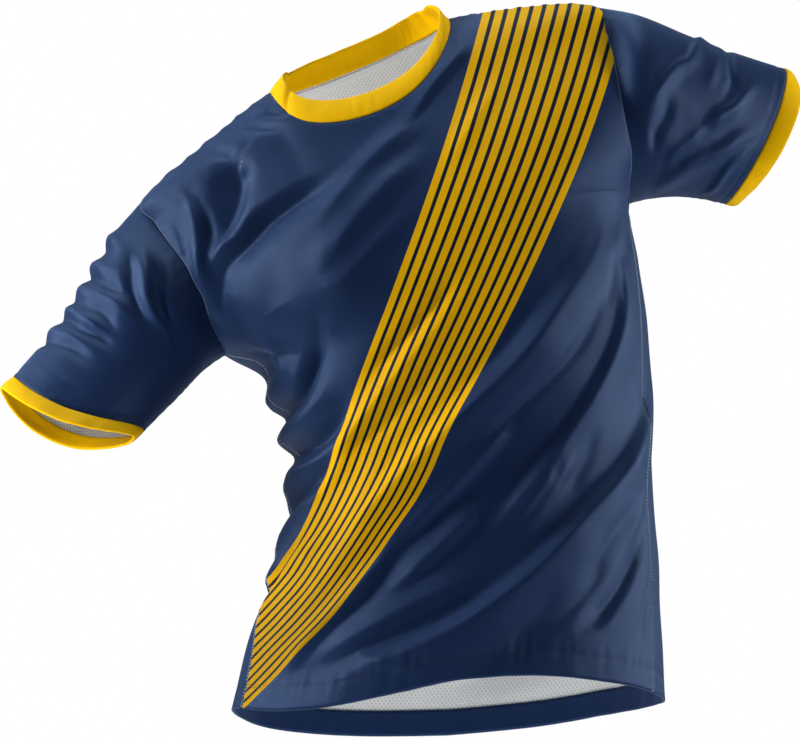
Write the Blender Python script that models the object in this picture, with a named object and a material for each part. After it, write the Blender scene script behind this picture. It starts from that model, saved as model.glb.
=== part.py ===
"""A short-sleeved soccer jersey, filled out as it is worn, with nobody in it.

Frame: metres, +Z up, the front faces -Y and the wearer's left is +X. The origin is where the wearer
carries the jersey: midway between the neck ends of the two shoulder seams.

The body is a tube of rings that leans and rolls from the hem up to the shoulders. Front and back are cut
out of that tube along the side seams, armholes, shoulder seams and neckline. Each sleeve is lofted from
its armhole to its cuff. Every panel is a grid of points on the cloth's mid surface, thickened to a wall.
"""

import math

import bmesh
import bpy
import numpy as np

# Cloth and making up
PANEL_WALL = 0.0020
COLLAR_WALL = 0.0028
CUFF_WALL = 0.0026
FACING_WALL = 0.0012
SEAM_GAP = 0.0005
HEM_GAP = 0.0006
TAPE_GAP = 0.0015
COLLAR_HEIGHT = 0.026
COLLAR_BULGE = 0.0015
CUFF_HEIGHT = 0.0195
TAPE_ROWS = (0.16, 0.64)
LONGEST_MITRE = 1.5

# Neckline and armholes, on the body tube. "Down" is measured from the shoulder line at the neck.
NECK_HALF_WIDTH = 0.097
FRONT_NECK_DROP = 0.063
BACK_NECK_DROP = 0.006
SHOULDER_DROP = 0.042
UNDERARM_DOWN = 0.233
ARMHOLE_BITE_DEG = 32.0
ARMHOLE_ROUNDNESS = 0.58
ARMHOLE_SKEW = 1.10
HEM_DOWN = 0.676
QUARTER_GIRTH = 0.270

# How finely each panel is sampled
SHOULDER_STEPS = 6
NECK_STEPS = 20
SIDE_STEPS = 23
ARMHOLE_STEPS = 14
SLEEVE_STEPS = 10
COLLAR_STEPS = 3
CUFF_STEPS = 2
HEM_TURN_UP_ROWS = 2
HEM_TURN_UP = 0.025
ARC_STEPS = 10
ARC_ROUNDS = 4
ROW_BEND = 2.5

RING_COLUMNS = ("down", "x", "y", "z", "roll", "pitch", "half_width", "front_depth", "back_depth", "square")
BODY_RINGS = (
    (0.000, 0.000, 0.000, 0.000, 23.0, 8.0, 0.097, 0.048, 0.045, 0.00),
    (0.020, 0.004, 0.000, -0.020, 24.0, 8.0, 0.167, 0.060, 0.060, 0.00),
    (0.042, 0.009, 0.000, -0.046, 24.0, 7.5, 0.244, 0.070, 0.075, 0.00),
    (0.073, 0.022, 0.001, -0.078, 23.3, 6.0, 0.261, 0.082, 0.092, 0.01),
    (0.140, 0.045, 0.002, -0.140, 22.2, 4.0, 0.272, 0.106, 0.116, 0.02),
    (0.190, 0.060, 0.002, -0.188, 21.5, 2.5, 0.249, 0.118, 0.124, 0.03),
    (0.233, 0.070, 0.002, -0.230, 21.0, 2.0, 0.216, 0.124, 0.124, 0.04),
    (0.278, 0.092, 0.002, -0.271, 16.5, 1.0, 0.197, 0.125, 0.120, 0.05),
    (0.330, 0.102, 0.000, -0.320, 12.0, 0.0, 0.191, 0.122, 0.112, 0.05),
    (0.400, 0.109, -0.002, -0.388, 8.7, -0.5, 0.183, 0.117, 0.104, 0.04),
    (0.465, 0.111, -0.004, -0.454, 5.8, -1.0, 0.182, 0.114, 0.102, 0.03),
    (0.540, 0.105, -0.006, -0.529, 3.8, -1.5, 0.193, 0.116, 0.108, 0.03),
    (0.605, 0.096, -0.008, -0.593, 2.6, -1.5, 0.204, 0.120, 0.116, 0.03),
    (0.676, 0.090, -0.010, -0.663, 1.6, -1.5, 0.213, 0.124, 0.122, 0.03),
)

# Where the side seams lie, in degrees from centre front, down the body
SEAM_COLUMNS = ("down", "right", "left")
SIDE_SEAMS = (
    (0.233, 90, 90), (0.262, 78, 77), (0.300, 79, 72), (0.400, 82, 70), (0.500, 86, 70), (0.565, 83, 70),
    (0.610, 72, 69), (0.676, 69, 67),
)

# How far the hem hangs below its ring, round the body from centre back (-180) by the right side (-90)
HEM_COLUMNS = ("angle", "extra")
HEM_LINE = (
    (-180, 0.010), (-155, 0.010), (-128, 0.007), (-100, 0.001), (-75, 0.004), (-50, 0.018), (-35, 0.021),
    (-12, 0.010), (0, 0.001), (15, -0.004), (50, 0.000), (80, 0.004), (110, 0.000), (135, 0.000),
    (155, 0.005), (180, 0.010),
)

# Sleeve rings: the ends of each ring's long diameter, on top and under the arm, its middle's way to the
# front, and how far its front and back hang on past those two ends
SLEEVE_COLUMNS = (
    "along", "top_x", "top_y", "top_z", "under_x", "under_y", "under_z",
    "front_x", "front_y", "front_z", "sag",
)
RIGHT_SLEEVE = (
    (0.00, 0, 0, 0, 0, 0, 0, 0, 0, 0, 0.000),
    (0.22, -0.248, -0.004, -0.192, -0.146, -0.014, -0.319, 0.000, -0.066, 0.000, 0.000),
    (0.48, -0.275, -0.020, -0.244, -0.160, -0.030, -0.336, 0.000, -0.056, 0.002, 0.004),
    (0.74, -0.302, -0.040, -0.294, -0.183, -0.048, -0.365, 0.000, -0.046, 0.004, 0.014),
    (1.00, -0.341, -0.064, -0.346, -0.211, -0.070, -0.400, 0.000, -0.037, 0.005, 0.023),
)
LEFT_SLEEVE = (
    (0.00, 0, 0, 0, 0, 0, 0, 0, 0, 0, 0.000),
    (0.22, 0.278, 0.006, 0.044, 0.296, 0.008, -0.144, 0.000, -0.066, 0.000, 0.000),
    (0.48, 0.330, 0.016, 0.026, 0.324, 0.018, -0.140, 0.002, -0.056, 0.000, 0.000),
    (0.74, 0.381, 0.030, 0.010, 0.349, 0.030, -0.140, 0.006, -0.046, 0.000, 0.002),
    (1.00, 0.432, 0.048, -0.001, 0.373, 0.044, -0.142, 0.012, -0.037, 0.000, 0.004),
)

# Which way each knitted band runs on from its seam, round its ring
RUN_COLUMNS = ("turn", "x", "y", "z")
RIGHT_CUFF_RUN = (
    (0, -0.58, -0.50, -0.64),
    (90, -0.38, -0.66, -0.64),
    (180, -0.38, -0.72, -0.50),
    (270, -0.50, -0.55, -0.68),
)
LEFT_CUFF_RUN = (
    (0, 0.20, 0.96, 0.20),
    (90, 0.96, 0.20, -0.10),
    (180, 0.55, 0.82, 0.12),
    (270, 0.45, 0.88, 0.00),
)
COLLAR_RUN = (
    (0, -0.06, 0.36, 0.93),
    (90, -0.88, 0.05, 0.46),
    (180, 0.00, -0.50, 0.86),
    (270, 0.62, 0.05, 0.78),
)

# Folds and pleats in the cloth: how high the ridge stands (negative for a trough), its half width, how far
# it leans (negative: steep on the side that its path keeps on the left), and the path its crest follows.
# Body paths hold (angle, down); sleeve paths (turn, along), turn 0 on top, 90 in front, 180 under the arm.
FOLD_COLUMNS = ("height", "width", "lean", "path")
BODY_FOLDS = (
    # long drags from the left chest down to the right hip
    (0.0150, 0.019, -0.4,
     ((50, 0.261), (33, 0.306), (16, 0.362), (-3, 0.410), (-22, 0.463), (-42, 0.539), (-52, 0.575))),
    (0.0080, 0.015, -0.6, ((58, 0.302), (54, 0.333), (42, 0.395), (20, 0.475), (4, 0.540))),
    (0.0125, 0.018, -0.5,
     ((87, 0.353), (78, 0.398), (56, 0.462), (36, 0.515), (18, 0.578), (-2, 0.630), (-22, 0.655),
      (-38, 0.674))),
    (0.0066, 0.012, 0.3, ((6, 0.572), (-8, 0.592), (-24, 0.622), (-42, 0.652))),
    # crushed cloth at the right waist, round the side seam
    (0.0060, 0.014, 0.0, ((-125, 0.308), (-95, 0.322), (-80, 0.322), (-68, 0.312), (-58, 0.285))),
    (-0.0138, 0.010, 0.0,
     ((-130, 0.330), (-95, 0.352), (-74, 0.352), (-57, 0.345), (-47, 0.308), (-41, 0.268))),
    (0.0062, 0.011, 0.0, ((-125, 0.360), (-90, 0.377), (-65, 0.376), (-50, 0.362), (-40, 0.325))),
    (-0.0138, 0.011, 0.0,
     ((-135, 0.376), (-95, 0.399), (-72, 0.402), (-53, 0.405), (-42, 0.388), (-36, 0.362))),
    (0.0064, 0.012, -0.2,
     ((-128, 0.425), (-90, 0.436), (-70, 0.431), (-51, 0.420), (-40, 0.398), (-32, 0.372))),
    (-0.0070, 0.010, 0.0, ((-125, 0.462), (-90, 0.473), (-66, 0.458), (-50, 0.440), (-39, 0.416))),
    (0.0050, 0.011, -0.2,
     ((-120, 0.496), (-90, 0.504), (-69, 0.479), (-52, 0.457), (-42, 0.432), (-36, 0.404))),
    (0.0046, 0.012, 0.0, ((-118, 0.528), (-92, 0.537), (-76, 0.530), (-62, 0.508))),
    # round the right shoulder and chest
    (-0.0135, 0.0125, -0.1,
     ((-10, 0.113), (-16, 0.117), (-22, 0.120), (-30, 0.127), (-35, 0.136), (-40, 0.145), (-46, 0.154),
      (-51, 0.168), (-59, 0.189))),
    (-0.0125, 0.013, 0.45, ((-34, 0.052), (-36, 0.072), (-38, 0.095), (-42, 0.115), (-47, 0.130))),
    (-0.0050, 0.026, 0.0, ((-60, 0.215), (-50, 0.270), (-42, 0.330))),
    # from the neck down over the chest
    (0.0052, 0.010, 0.0, ((8, 0.083), (-8, 0.117), (-21, 0.158))),
    (0.0058, 0.011, 0.0, ((4, 0.121), (-10, 0.160), (-27, 0.214))),
    # the back, where the photograph doesn't reach
    (0.0095, 0.018, -0.4, ((118, 0.262), (150, 0.335), (185, 0.395), (222, 0.440))),
    (-0.0065, 0.014, 0.0, ((124, 0.250), (156, 0.310), (190, 0.368), (224, 0.405))),
    (0.0095, 0.018, -0.4, ((108, 0.400), (138, 0.470), (170, 0.535), (205, 0.590))),
    (-0.0065, 0.014, 0.0, ((112, 0.380), (142, 0.440), (176, 0.505), (210, 0.560))),
    (0.0056, 0.013, 0.3, ((128, 0.560), (155, 0.605), (185, 0.640))),
    (0.0060, 0.012, 0.3, ((238, 0.150), (222, 0.200), (200, 0.240))),
    (-0.0060, 0.010, 0.0, ((240, 0.172), (220, 0.228), (200, 0.272))),
    (0.0052, 0.012, 0.3, ((126, 0.110), (142, 0.160), (165, 0.205))),
)
RIGHT_SLEEVE_FOLDS = (
    (-0.0060, 0.006, 0.0, ((50, 0.20), (64, 0.28), (77, 0.37), (103, 0.48))),
    (-0.0056, 0.006, 0.0, ((64, 0.07), (88, 0.18), (103, 0.28), (118, 0.36))),
    (0.0045, 0.006, 0.0, ((51, 0.12), (76, 0.23), (92, 0.35), (116, 0.42))),
    (-0.0050, 0.005, 0.0, ((-30, 0.44), (13, 0.43), (51, 0.43), (77, 0.39))),
    (0.0040, 0.006, 0.0, ((-25, 0.36), (20, 0.37), (56, 0.34))),
    (-0.0046, 0.005, 0.0, ((-20, 0.57), (39, 0.57), (64, 0.55), (90, 0.61))),
    (0.0040, 0.006, 0.0, ((-20, 0.51), (26, 0.50), (64, 0.47), (90, 0.48))),
    (-0.0048, 0.005, 0.0, ((-35, 0.70), (26, 0.67), (51, 0.67), (77, 0.65), (94, 0.68))),
    (0.0040, 0.006, 0.0, ((-30, 0.63), (26, 0.62), (51, 0.62), (77, 0.62))),
    (-0.0046, 0.005, 0.0, ((-35, 0.83), (26, 0.80), (60, 0.76), (90, 0.78))),
    (0.0042, 0.006, 0.0, ((-35, 0.77), (25, 0.74), (70, 0.71))),
    (0.0040, 0.007, 0.0, ((-30, 0.20), (10, 0.22), (45, 0.20))),
    (-0.0040, 0.006, 0.0, ((-30, 0.28), (15, 0.29), (52, 0.26))),
    (0.0046, 0.010, 0.0, ((235, 0.20), (255, 0.45), (285, 0.62))),
    (-0.0046, 0.010, 0.0, ((225, 0.30), (245, 0.55), (275, 0.75))),
)
LEFT_SLEEVE_FOLDS = (
    (0.0028, 0.0050, 0.4, ((0, 0.57), (51, 0.50), (64, 0.43), (90, 0.29), (103, 0.18))),
    (0.0048, 0.0080, 0.3,
     ((90, 0.97), (103, 0.85), (116, 0.75), (129, 0.62), (141, 0.47), (154, 0.32), (167, 0.22))),
    (0.0028, 0.0050, 0.3, ((51, 0.85), (77, 0.77), (90, 0.68), (103, 0.58))),
    (0.0028, 0.0055, 0.3, ((103, 0.95), (116, 0.88), (129, 0.82), (154, 0.77), (167, 0.68))),
    (-0.0024, 0.0065, 0.0, ((90, 0.40), (103, 0.35), (116, 0.28), (129, 0.22))),
    (0.0044, 0.010, 0.0, ((240, 0.20), (262, 0.45), (300, 0.62))),
    (-0.0044, 0.010, 0.0, ((228, 0.35), (255, 0.60), (290, 0.80))),
)
FOLD_FADE = 0.30
FOLD_CREST = 0.18
FOLD_SLOPE = 1.6
FOLD_FOOT = 0.28
SLEEVE_GIRTH = 0.400
SLEEVE_LENGTH = 0.210

COLORS = {
    "navy": (0.022, 0.040, 0.105, 1.0),
    "gold": (0.780, 0.480, 0.010, 1.0),
    "white": (0.700, 0.700, 0.720, 1.0),
    "reverse": (0.480, 0.485, 0.500, 1.0),
}


def read_table(columns, rows):
    """The rows as one array for each named column."""
    return {name: np.array([row[i] for row in rows], float) for i, name in enumerate(columns)}


def smooth(keys, values, at):
    """A smooth curve through values at keys (rising), read at any place."""
    slopes = np.gradient(values, keys)
    i = np.clip(np.searchsorted(keys, at, side="right") - 1, 0, len(keys) - 2)
    width = keys[i + 1] - keys[i]
    t = np.clip((at - keys[i]) / width, 0.0, 1.0)
    beyond = at - np.clip(at, keys[0], keys[-1])
    start, end = values[i], values[i + 1]
    curve = (
        (2 * t**3 - 3 * t**2 + 1) * start
        + (t**3 - 2 * t**2 + t) * width * slopes[i]
        + (-2 * t**3 + 3 * t**2) * end
        + (t**3 - t**2) * width * slopes[i + 1]
    )
    edge_slope = np.where(beyond < 0, slopes[0], slopes[-1])
    return curve + beyond * edge_slope


RINGS = read_table(RING_COLUMNS, BODY_RINGS)
HEM = read_table(HEM_COLUMNS, HEM_LINE)
SEAMS = read_table(SEAM_COLUMNS, SIDE_SEAMS)


def ring_value(name, down):
    return smooth(RINGS["down"], RINGS[name], down)


def unit(vectors):
    return vectors / np.maximum(np.linalg.norm(vectors, axis=-1, keepdims=True), 1e-12)


def body_form(angle, down):
    """The body tube without folds. Angle 0 is centre front, 90 the left side, 180 centre back."""
    a = np.radians(angle)
    swell = 1.0 + ring_value("square", down) * np.sin(2 * a) ** 2
    across = ring_value("half_width", down) * np.sin(a) * swell
    depth = np.where(np.cos(a) > 0, ring_value("front_depth", down), ring_value("back_depth", down))
    forward = depth * np.cos(a) * swell
    roll, pitch = np.radians(ring_value("roll", down)), np.radians(ring_value("pitch", down))
    zero = np.zeros_like(roll)
    side = np.stack([np.cos(roll), zero, np.sin(roll)], -1)
    up = np.stack([-np.sin(roll), zero, np.cos(roll)], -1)
    back = np.stack([zero, np.cos(pitch), zero], -1) + up * np.sin(pitch)[..., None]
    centre = np.stack([ring_value(axis, down) for axis in "xyz"], -1)
    return centre + side * across[..., None] - back * forward[..., None]


def normals_of(surface, first, second, first_step, second_step):
    """Unit normals of a surface function, from points a little to each side."""
    along_first = surface(first + first_step, second) - surface(first - first_step, second)
    along_second = surface(first, second + second_step) - surface(first, second - second_step)
    return unit(np.cross(along_second, along_first))


def body_normals(surface, angle, down):
    return normals_of(surface, angle, down, 0.5, 0.0015)


def fold_profile(x):
    """A fold's section: a crest that is only just rounded, an even slope, and a softer foot."""
    x = (np.sqrt(x * x + FOLD_CREST**2) - FOLD_CREST) / FOLD_SLOPE
    return (1 - x + np.sqrt((1 - x) ** 2 + FOLD_FOOT**2)) / (1 + math.sqrt(1 + FOLD_FOOT**2))


def fold_lift(folds, first, second, first_size, second_size, period=360.0):
    """How far the folds lift each point off the plain form. The sizes turn both coordinates into metres."""
    lift = np.zeros(np.broadcast(first, second).shape)
    for row in folds:
        fold = dict(zip(FOLD_COLUMNS, row))
        height, width, lean = fold["height"], fold["width"], fold["lean"]
        stops = np.array(fold["path"], float)
        knots = np.arange(len(stops), dtype=float)
        at = np.linspace(0.0, knots[-1], 8 * (len(stops) - 1) + 1)
        curve = np.stack([smooth(knots, stops[:, k], at) for k in (0, 1)], -1)
        middle = (curve[:, 0].min() + curve[:, 0].max()) / 2
        near = (first - middle + period / 2) % period - period / 2 + middle
        size = np.array([first_size, second_size])
        points = np.stack(np.broadcast_arrays(near, second), -1) * size
        curve = curve * size
        reach = 3 * width * (1 + abs(lean))
        inside = np.all((points > curve.min(0) - reach) & (points < curve.max(0) + reach), axis=-1)
        if not inside.any():
            continue
        start, leg = curve[:-1], np.diff(curve, axis=0)
        offset = points[inside][:, None, :] - start[None]
        share = np.clip((offset * leg).sum(-1) / (leg**2).sum(-1), 0.0, 1.0)
        distance = np.linalg.norm(offset - share[..., None] * leg, axis=-1)
        turn = leg[:, 0] * offset[..., 1] - leg[:, 1] * offset[..., 0]
        flank = width * (1 + lean * np.sign(turn))
        place = (np.arange(len(leg)) + share) / len(leg)
        fade = ease(place / FOLD_FADE) * ease((1 - place) / FOLD_FADE)
        lift[inside] += height * (fade * fold_profile(distance / flank)).max(-1)
    return lift


def ease(t):
    """0 to 1 with a soft start and end."""
    t = np.clip(t, 0.0, 1.0)
    return t * t * (3 - 2 * t)


def body_folds(angle, down):
    return fold_lift(BODY_FOLDS, angle, down, QUARTER_GIRTH / 90.0, 1.0)


def body_cloth(angle, down):
    """The body tube with its folds."""
    lift = body_folds(angle, down)
    return body_form(angle, down) + body_normals(body_form, angle, down) * lift[..., None]


def ring_arc(own, down, faces_back):
    """The way round the cloth from a panel's middle to each of its own angles, in metres."""
    t = (np.arange(ARC_STEPS) + 0.5) / ARC_STEPS
    a = np.radians(own)[..., None] * t
    near, far = ("back_depth", "front_depth") if faces_back else ("front_depth", "back_depth")
    width, near, far = (ring_value(name, down)[..., None] for name in ("half_width", near, far))
    depth = np.where(np.cos(a) > 0, near, far)
    return np.radians(own) * np.sqrt((width * np.cos(a)) ** 2 + (depth * np.sin(a)) ** 2).mean(-1)


def angle_at(arc, down, faces_back):
    """The panel's own angle at each way round from its middle."""
    own = arc / ring_arc(np.full_like(down, 90.0), down, faces_back) * 90.0
    for _ in range(ARC_ROUNDS):
        speed = ring_arc(own + 0.5, down, faces_back) - ring_arc(own - 0.5, down, faces_back)
        own = own - (ring_arc(own, down, faces_back) - arc) / speed
    return own


def armhole_angle(down):
    """How far round from centre front an armhole's front edge lies."""
    t = np.clip((down - SHOULDER_DROP) / (UNDERARM_DOWN - SHOULDER_DROP), 0.0, 1.0)
    return 90.0 - ARMHOLE_BITE_DEG * np.sin(math.pi * t**ARMHOLE_SKEW) ** ARMHOLE_ROUNDNESS


def even_steps(angle, down, steps):
    """The path (angle, down) resampled at equal lengths of cloth."""
    points = body_form(angle, down)
    length = np.concatenate([[0.0], np.cumsum(np.linalg.norm(np.diff(points, axis=0), axis=1))])
    at = np.linspace(0.0, length[-1], steps + 1)
    return np.interp(at, length, angle), np.interp(at, length, down)


def fine(start, end, count=401):
    """Parameters that crowd towards both ends, where the cloth's curves are tight."""
    t = (1 - np.cos(np.linspace(0.0, math.pi, count))) / 2
    return start + (end - start) * t


def armhole_edge():
    """One armhole's front edge from the underarm up to the shoulder point."""
    down = fine(UNDERARM_DOWN, SHOULDER_DROP)
    return even_steps(armhole_angle(down), down, ARMHOLE_STEPS)


def side_edge(side, faces_back):
    """One panel's edge from the hem up: side seam, then armhole, in the panel's own angles."""
    turn_up = np.linspace(HEM_DOWN, HEM_DOWN - HEM_TURN_UP, HEM_TURN_UP_ROWS + 1)
    seam_down = np.linspace(turn_up[-1], UNDERARM_DOWN, SIDE_STEPS - HEM_TURN_UP_ROWS + 1)
    down = np.concatenate([turn_up, seam_down[1:]])
    angle = smooth(SEAMS["down"], SEAMS[side], down)
    own = 180.0 - angle if faces_back else angle
    hole_angle, hole_down = armhole_edge()
    return np.concatenate([own, hole_angle[1:]]), np.concatenate([down, hole_down[1:]])


def neckline(drop, faces_back):
    """The neckline from the left shoulder seam to the right one, as (angle, down)."""
    t = fine(0.0, math.pi)
    down = drop * np.sin(t)
    across = NECK_HALF_WIDTH * np.cos(t)
    half = ring_value("half_width", down)
    angle = np.degrees(np.arcsin(np.clip(across / half, -1.0, 1.0)))
    if faces_back:
        angle = 180.0 - angle
    return even_steps(angle, down, NECK_STEPS)


def top_edge(drop, faces_back):
    """One panel's top edge, from the right shoulder point to the left one, in the panel's own angles."""
    seam_down = fine(SHOULDER_DROP, 0.0)
    _, down = even_steps(np.full_like(seam_down, 90.0), seam_down, SHOULDER_STEPS)
    angle, neck_down = neckline(drop, faces_back)
    own = 180.0 - angle if faces_back else angle
    left_down = down[::-1]
    return (
        np.concatenate([np.full(SHOULDER_STEPS, -90.0), own[::-1], np.full(SHOULDER_STEPS, 90.0)]),
        np.concatenate([down[:-1], neck_down[::-1], left_down[1:]]),
    )


def panel_grid(drop, faces_back):
    """Body angles and downs of one panel's grid, rows from the hem up, columns from right to left.

    The grid is laid out on the flat cut, as metres round from the panel's middle, and then bent round.
    """
    right_angle, side_down = side_edge("right", faces_back)
    left_angle, _ = side_edge("left", faces_back)
    top_angle, top_down = top_edge(drop, faces_back)
    right, left, top = (
        ring_arc(own, down, faces_back)
        for own, down in ((-right_angle, side_down), (left_angle, side_down), (top_angle, top_down))
    )
    rows, columns = len(side_down), len(top)
    s = np.linspace(0.0, 1.0, columns)[None, :]
    t = np.linspace(0.0, 1.0, rows)[:, None] ** ROW_BEND

    def fill(start, end, bottom, top):
        """A grid that bends smoothly from each edge to the one facing it."""
        low = bottom[None, :] - (1 - s) * start[0] - s * end[0]
        high = top[None, :] - (1 - s) * start[-1] - s * end[-1]
        return (1 - s) * start[:, None] + s * end[:, None] + (1 - t) * low + t * high

    arc = fill(right, left, np.linspace(right[0], left[0], columns), top)
    down = fill(side_down, side_down, np.full(columns, HEM_DOWN), top_down)
    own = angle_at(arc, down, faces_back)
    angle = 180.0 - own if faces_back else own
    wrapped = (angle + 180.0) % 360.0 - 180.0
    drape = smooth(HEM["angle"], HEM["extra"], wrapped)
    near_hem = np.clip((down - UNDERARM_DOWN) / (HEM_DOWN - UNDERARM_DOWN), 0.0, 1.0) ** 3
    return angle, down + drape * near_hem


def wall(name, points, half, color, inside_color, closed=False):
    """A grid of mid-surface points as a closed wall; half is each point's vector to the outer face."""
    rows, columns = points.shape[:2]
    mesh = bpy.data.meshes.new(name)
    shape = bmesh.new()
    outer = [[shape.verts.new(points[j, i] + half[j, i]) for i in range(columns)] for j in range(rows)]
    inner = [[shape.verts.new(points[j, i] - half[j, i]) for i in range(columns)] for j in range(rows)]
    spans = columns if closed else columns - 1
    for j in range(rows - 1):
        for i in range(spans):
            k = (i + 1) % columns
            shape.faces.new((outer[j][i], outer[j][k], outer[j + 1][k], outer[j + 1][i]))
            lining = shape.faces.new((inner[j][i], inner[j + 1][i], inner[j + 1][k], inner[j][k]))
            lining.material_index = 1
    for i in range(spans):
        k = (i + 1) % columns
        shape.faces.new((inner[0][i], inner[0][k], outer[0][k], outer[0][i]))
        shape.faces.new((outer[-1][i], outer[-1][k], inner[-1][k], inner[-1][i]))
    if not closed:
        for j in range(rows - 1):
            shape.faces.new((inner[j][0], outer[j][0], outer[j + 1][0], inner[j + 1][0]))
            shape.faces.new((outer[j][-1], inner[j][-1], inner[j + 1][-1], outer[j + 1][-1]))
    bmesh.ops.recalc_face_normals(shape, faces=shape.faces)
    if shape.calc_volume(signed=True) < 0:
        bmesh.ops.reverse_faces(shape, faces=shape.faces)
    shape.to_mesh(mesh)
    shape.free()
    mesh.shade_smooth()
    mesh.set_sharp_from_angle(angle=math.radians(50))
    piece = bpy.data.objects.new(name, mesh)
    mesh.materials.append(material(color))
    mesh.materials.append(material(inside_color))
    bpy.context.collection.objects.link(piece)


def material(color):
    """The cloth of one colour, made once."""
    found = bpy.data.materials.get(color)
    if found:
        return found
    made = bpy.data.materials.new(color)
    made.use_nodes = True
    shader = made.node_tree.nodes["Principled BSDF"]
    shader.inputs["Base Color"].default_value = COLORS[color]
    shader.inputs["Roughness"].default_value = 0.55
    shader.inputs["Metallic"].default_value = 0.0
    return made


def pulled_in(points, edges, by=SEAM_GAP / 2):
    """The grid with the named edges drawn back along the cloth, which opens the seams."""
    moved = points.copy()
    if "left" in edges:
        moved[:, 0] += unit(points[:, 1] - points[:, 0]) * by
    if "right" in edges:
        moved[:, -1] += unit(points[:, -2] - points[:, -1]) * by
    if "bottom" in edges:
        moved[0] += unit(points[1] - points[0]) * by
    if "top" in edges:
        moved[-1] += unit(points[-2] - points[-1]) * by
    return moved


def mitre(one, other, thickness):
    """Half-wall vectors along the plane that halves the angle between two panels' normals."""
    middle = unit(one + other)
    lean = np.maximum((middle * one).sum(-1, keepdims=True), 1 / LONGEST_MITRE)
    return middle / lean * thickness / 2


def armhole_ring():
    """An armhole's points as (angle, down): from the shoulder down the front, then up the back."""
    hole_angle, hole_down = armhole_edge()
    front_angle, front_down = hole_angle[::-1], hole_down[::-1]
    back_angle, back_down = 180.0 - hole_angle[1:-1], hole_down[1:-1]
    return np.concatenate([front_angle, back_angle]), np.concatenate([front_down, back_down])


def neck_ring():
    """The neckline's points as (angle, down): from the left shoulder by the front to the right, and back."""
    front_angle, front_down = neckline(FRONT_NECK_DROP, False)
    back_angle, back_down = neckline(BACK_NECK_DROP, True)
    return (
        np.concatenate([front_angle, back_angle[-2:0:-1]]),
        np.concatenate([front_down, back_down[-2:0:-1]]),
    )


def sleeve_form(side, table, along):
    """Mid-surface points of one sleeve: rows from armhole to cuff, columns from the top by the front."""
    rings = read_table(SLEEVE_COLUMNS, table)
    angle, down = armhole_ring()
    turn = np.linspace(0.0, 2 * math.pi, len(angle), endpoint=False)
    sections = [body_cloth(side * angle, down)]
    last_centre = sections[0].mean(axis=0)
    for k in range(1, len(table)):
        top = np.array([rings[f"top_{axis}"][k] for axis in "xyz"])
        under = np.array([rings[f"under_{axis}"][k] for axis in "xyz"])
        front = np.array([rings[f"front_{axis}"][k] for axis in "xyz"])
        centre = (top + under) / 2
        run = unit(centre - last_centre)
        sections.append(
            centre
            + np.outer(np.cos(turn), (top - under) / 2)
            + np.outer(np.sin(turn), front)
            + np.outer(np.sin(turn) ** 2, run * rings["sag"][k])
        )
        last_centre = centre
    flat = np.array(sections).reshape(len(sections), -1)
    grid = np.stack([smooth(rings["along"], flat[:, k], along) for k in range(flat.shape[1])], -1)
    return grid.reshape(len(along), len(angle), 3)


def sleeve_cloth(side, table, folds, steps):
    """One sleeve with its folds, and its normals."""
    along = np.linspace(0.0, 1.0, steps + 1)
    grid = sleeve_form(side, table, along)
    turn = np.linspace(0.0, 360.0, grid.shape[1], endpoint=False)
    lift = fold_lift(folds, turn[None, :], along[:, None], SLEEVE_GIRTH / 360.0, SLEEVE_LENGTH)
    lift = lift * ease(along / 0.12)[:, None]
    grid = grid + ring_normals(grid) * side * lift[..., None]
    return grid, ring_normals(grid) * side


def ring_normals(points):
    """Unit normals of a grid whose columns close into rings."""
    across = np.roll(points, -1, axis=1) - np.roll(points, 1, axis=1)
    return unit(np.cross(across, np.gradient(points, axis=0)))


def run_directions(table, turn):
    """Unit directions in which a band runs on, blended round its ring between the table's four."""
    runs = read_table(RUN_COLUMNS, table)
    share = np.maximum(np.cos(np.subtract.outer(turn, np.radians(runs["turn"]))), 0.0) ** 2
    return unit(share @ np.stack([runs[axis] for axis in "xyz"], -1))


def collar_cloth():
    """The neckband's points and normals: rows from the neck seam to its top edge."""
    angle, down = neck_ring()
    seam = body_cloth(angle, down)
    turn = np.radians(angle)
    rise = run_directions(COLLAR_RUN, turn)
    outward = np.stack([np.sin(turn), -np.cos(turn), np.zeros_like(turn)], -1)
    rows = []
    for t in np.linspace(0.0, 1.0, COLLAR_STEPS + 1):
        rows.append(seam + rise * COLLAR_HEIGHT * t + outward * COLLAR_BULGE * math.sin(math.pi * t))
    grid = np.array(rows)
    return grid, -ring_normals(grid)


def cuff_cloth(sleeve, side, run_table):
    """The cuff's points and normals, on from the sleeve's last ring."""
    turn = np.linspace(0.0, 2 * math.pi, sleeve.shape[1], endpoint=False)
    run = run_directions(run_table, turn)
    grid = np.array([sleeve[-1] + run * CUFF_HEIGHT * t for t in np.linspace(0.0, 1.0, CUFF_STEPS + 1)])
    return grid, ring_normals(grid) * side


def body_panel(drop, faces_back, sleeve_normals, collar_normals):
    """Front or back: its points, its normals, and half its wall, mitred where another panel meets it."""
    angle, down = panel_grid(drop, faces_back)
    points = body_cloth(angle, down)
    normals = body_normals(body_cloth, angle, down)
    half = normals * PANEL_WALL / 2
    step = np.arange(ARMHOLE_STEPS + 1)
    hole = (ARMHOLE_STEPS + step) % (2 * ARMHOLE_STEPS) if faces_back else ARMHOLE_STEPS - step
    for column, sleeve in ((0, "right"), (-1, "left")):
        rows = SIDE_STEPS + step
        half[rows, column] = mitre(normals[rows, column], sleeve_normals[sleeve][hole], PANEL_WALL)
    step = np.arange(NECK_STEPS + 1)
    neck = (NECK_STEPS + step) % (2 * NECK_STEPS) if faces_back else NECK_STEPS - step
    columns = SHOULDER_STEPS + step
    half[-1, columns] = mitre(normals[-1, columns], collar_normals[neck], PANEL_WALL)
    return points, normals, half


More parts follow.
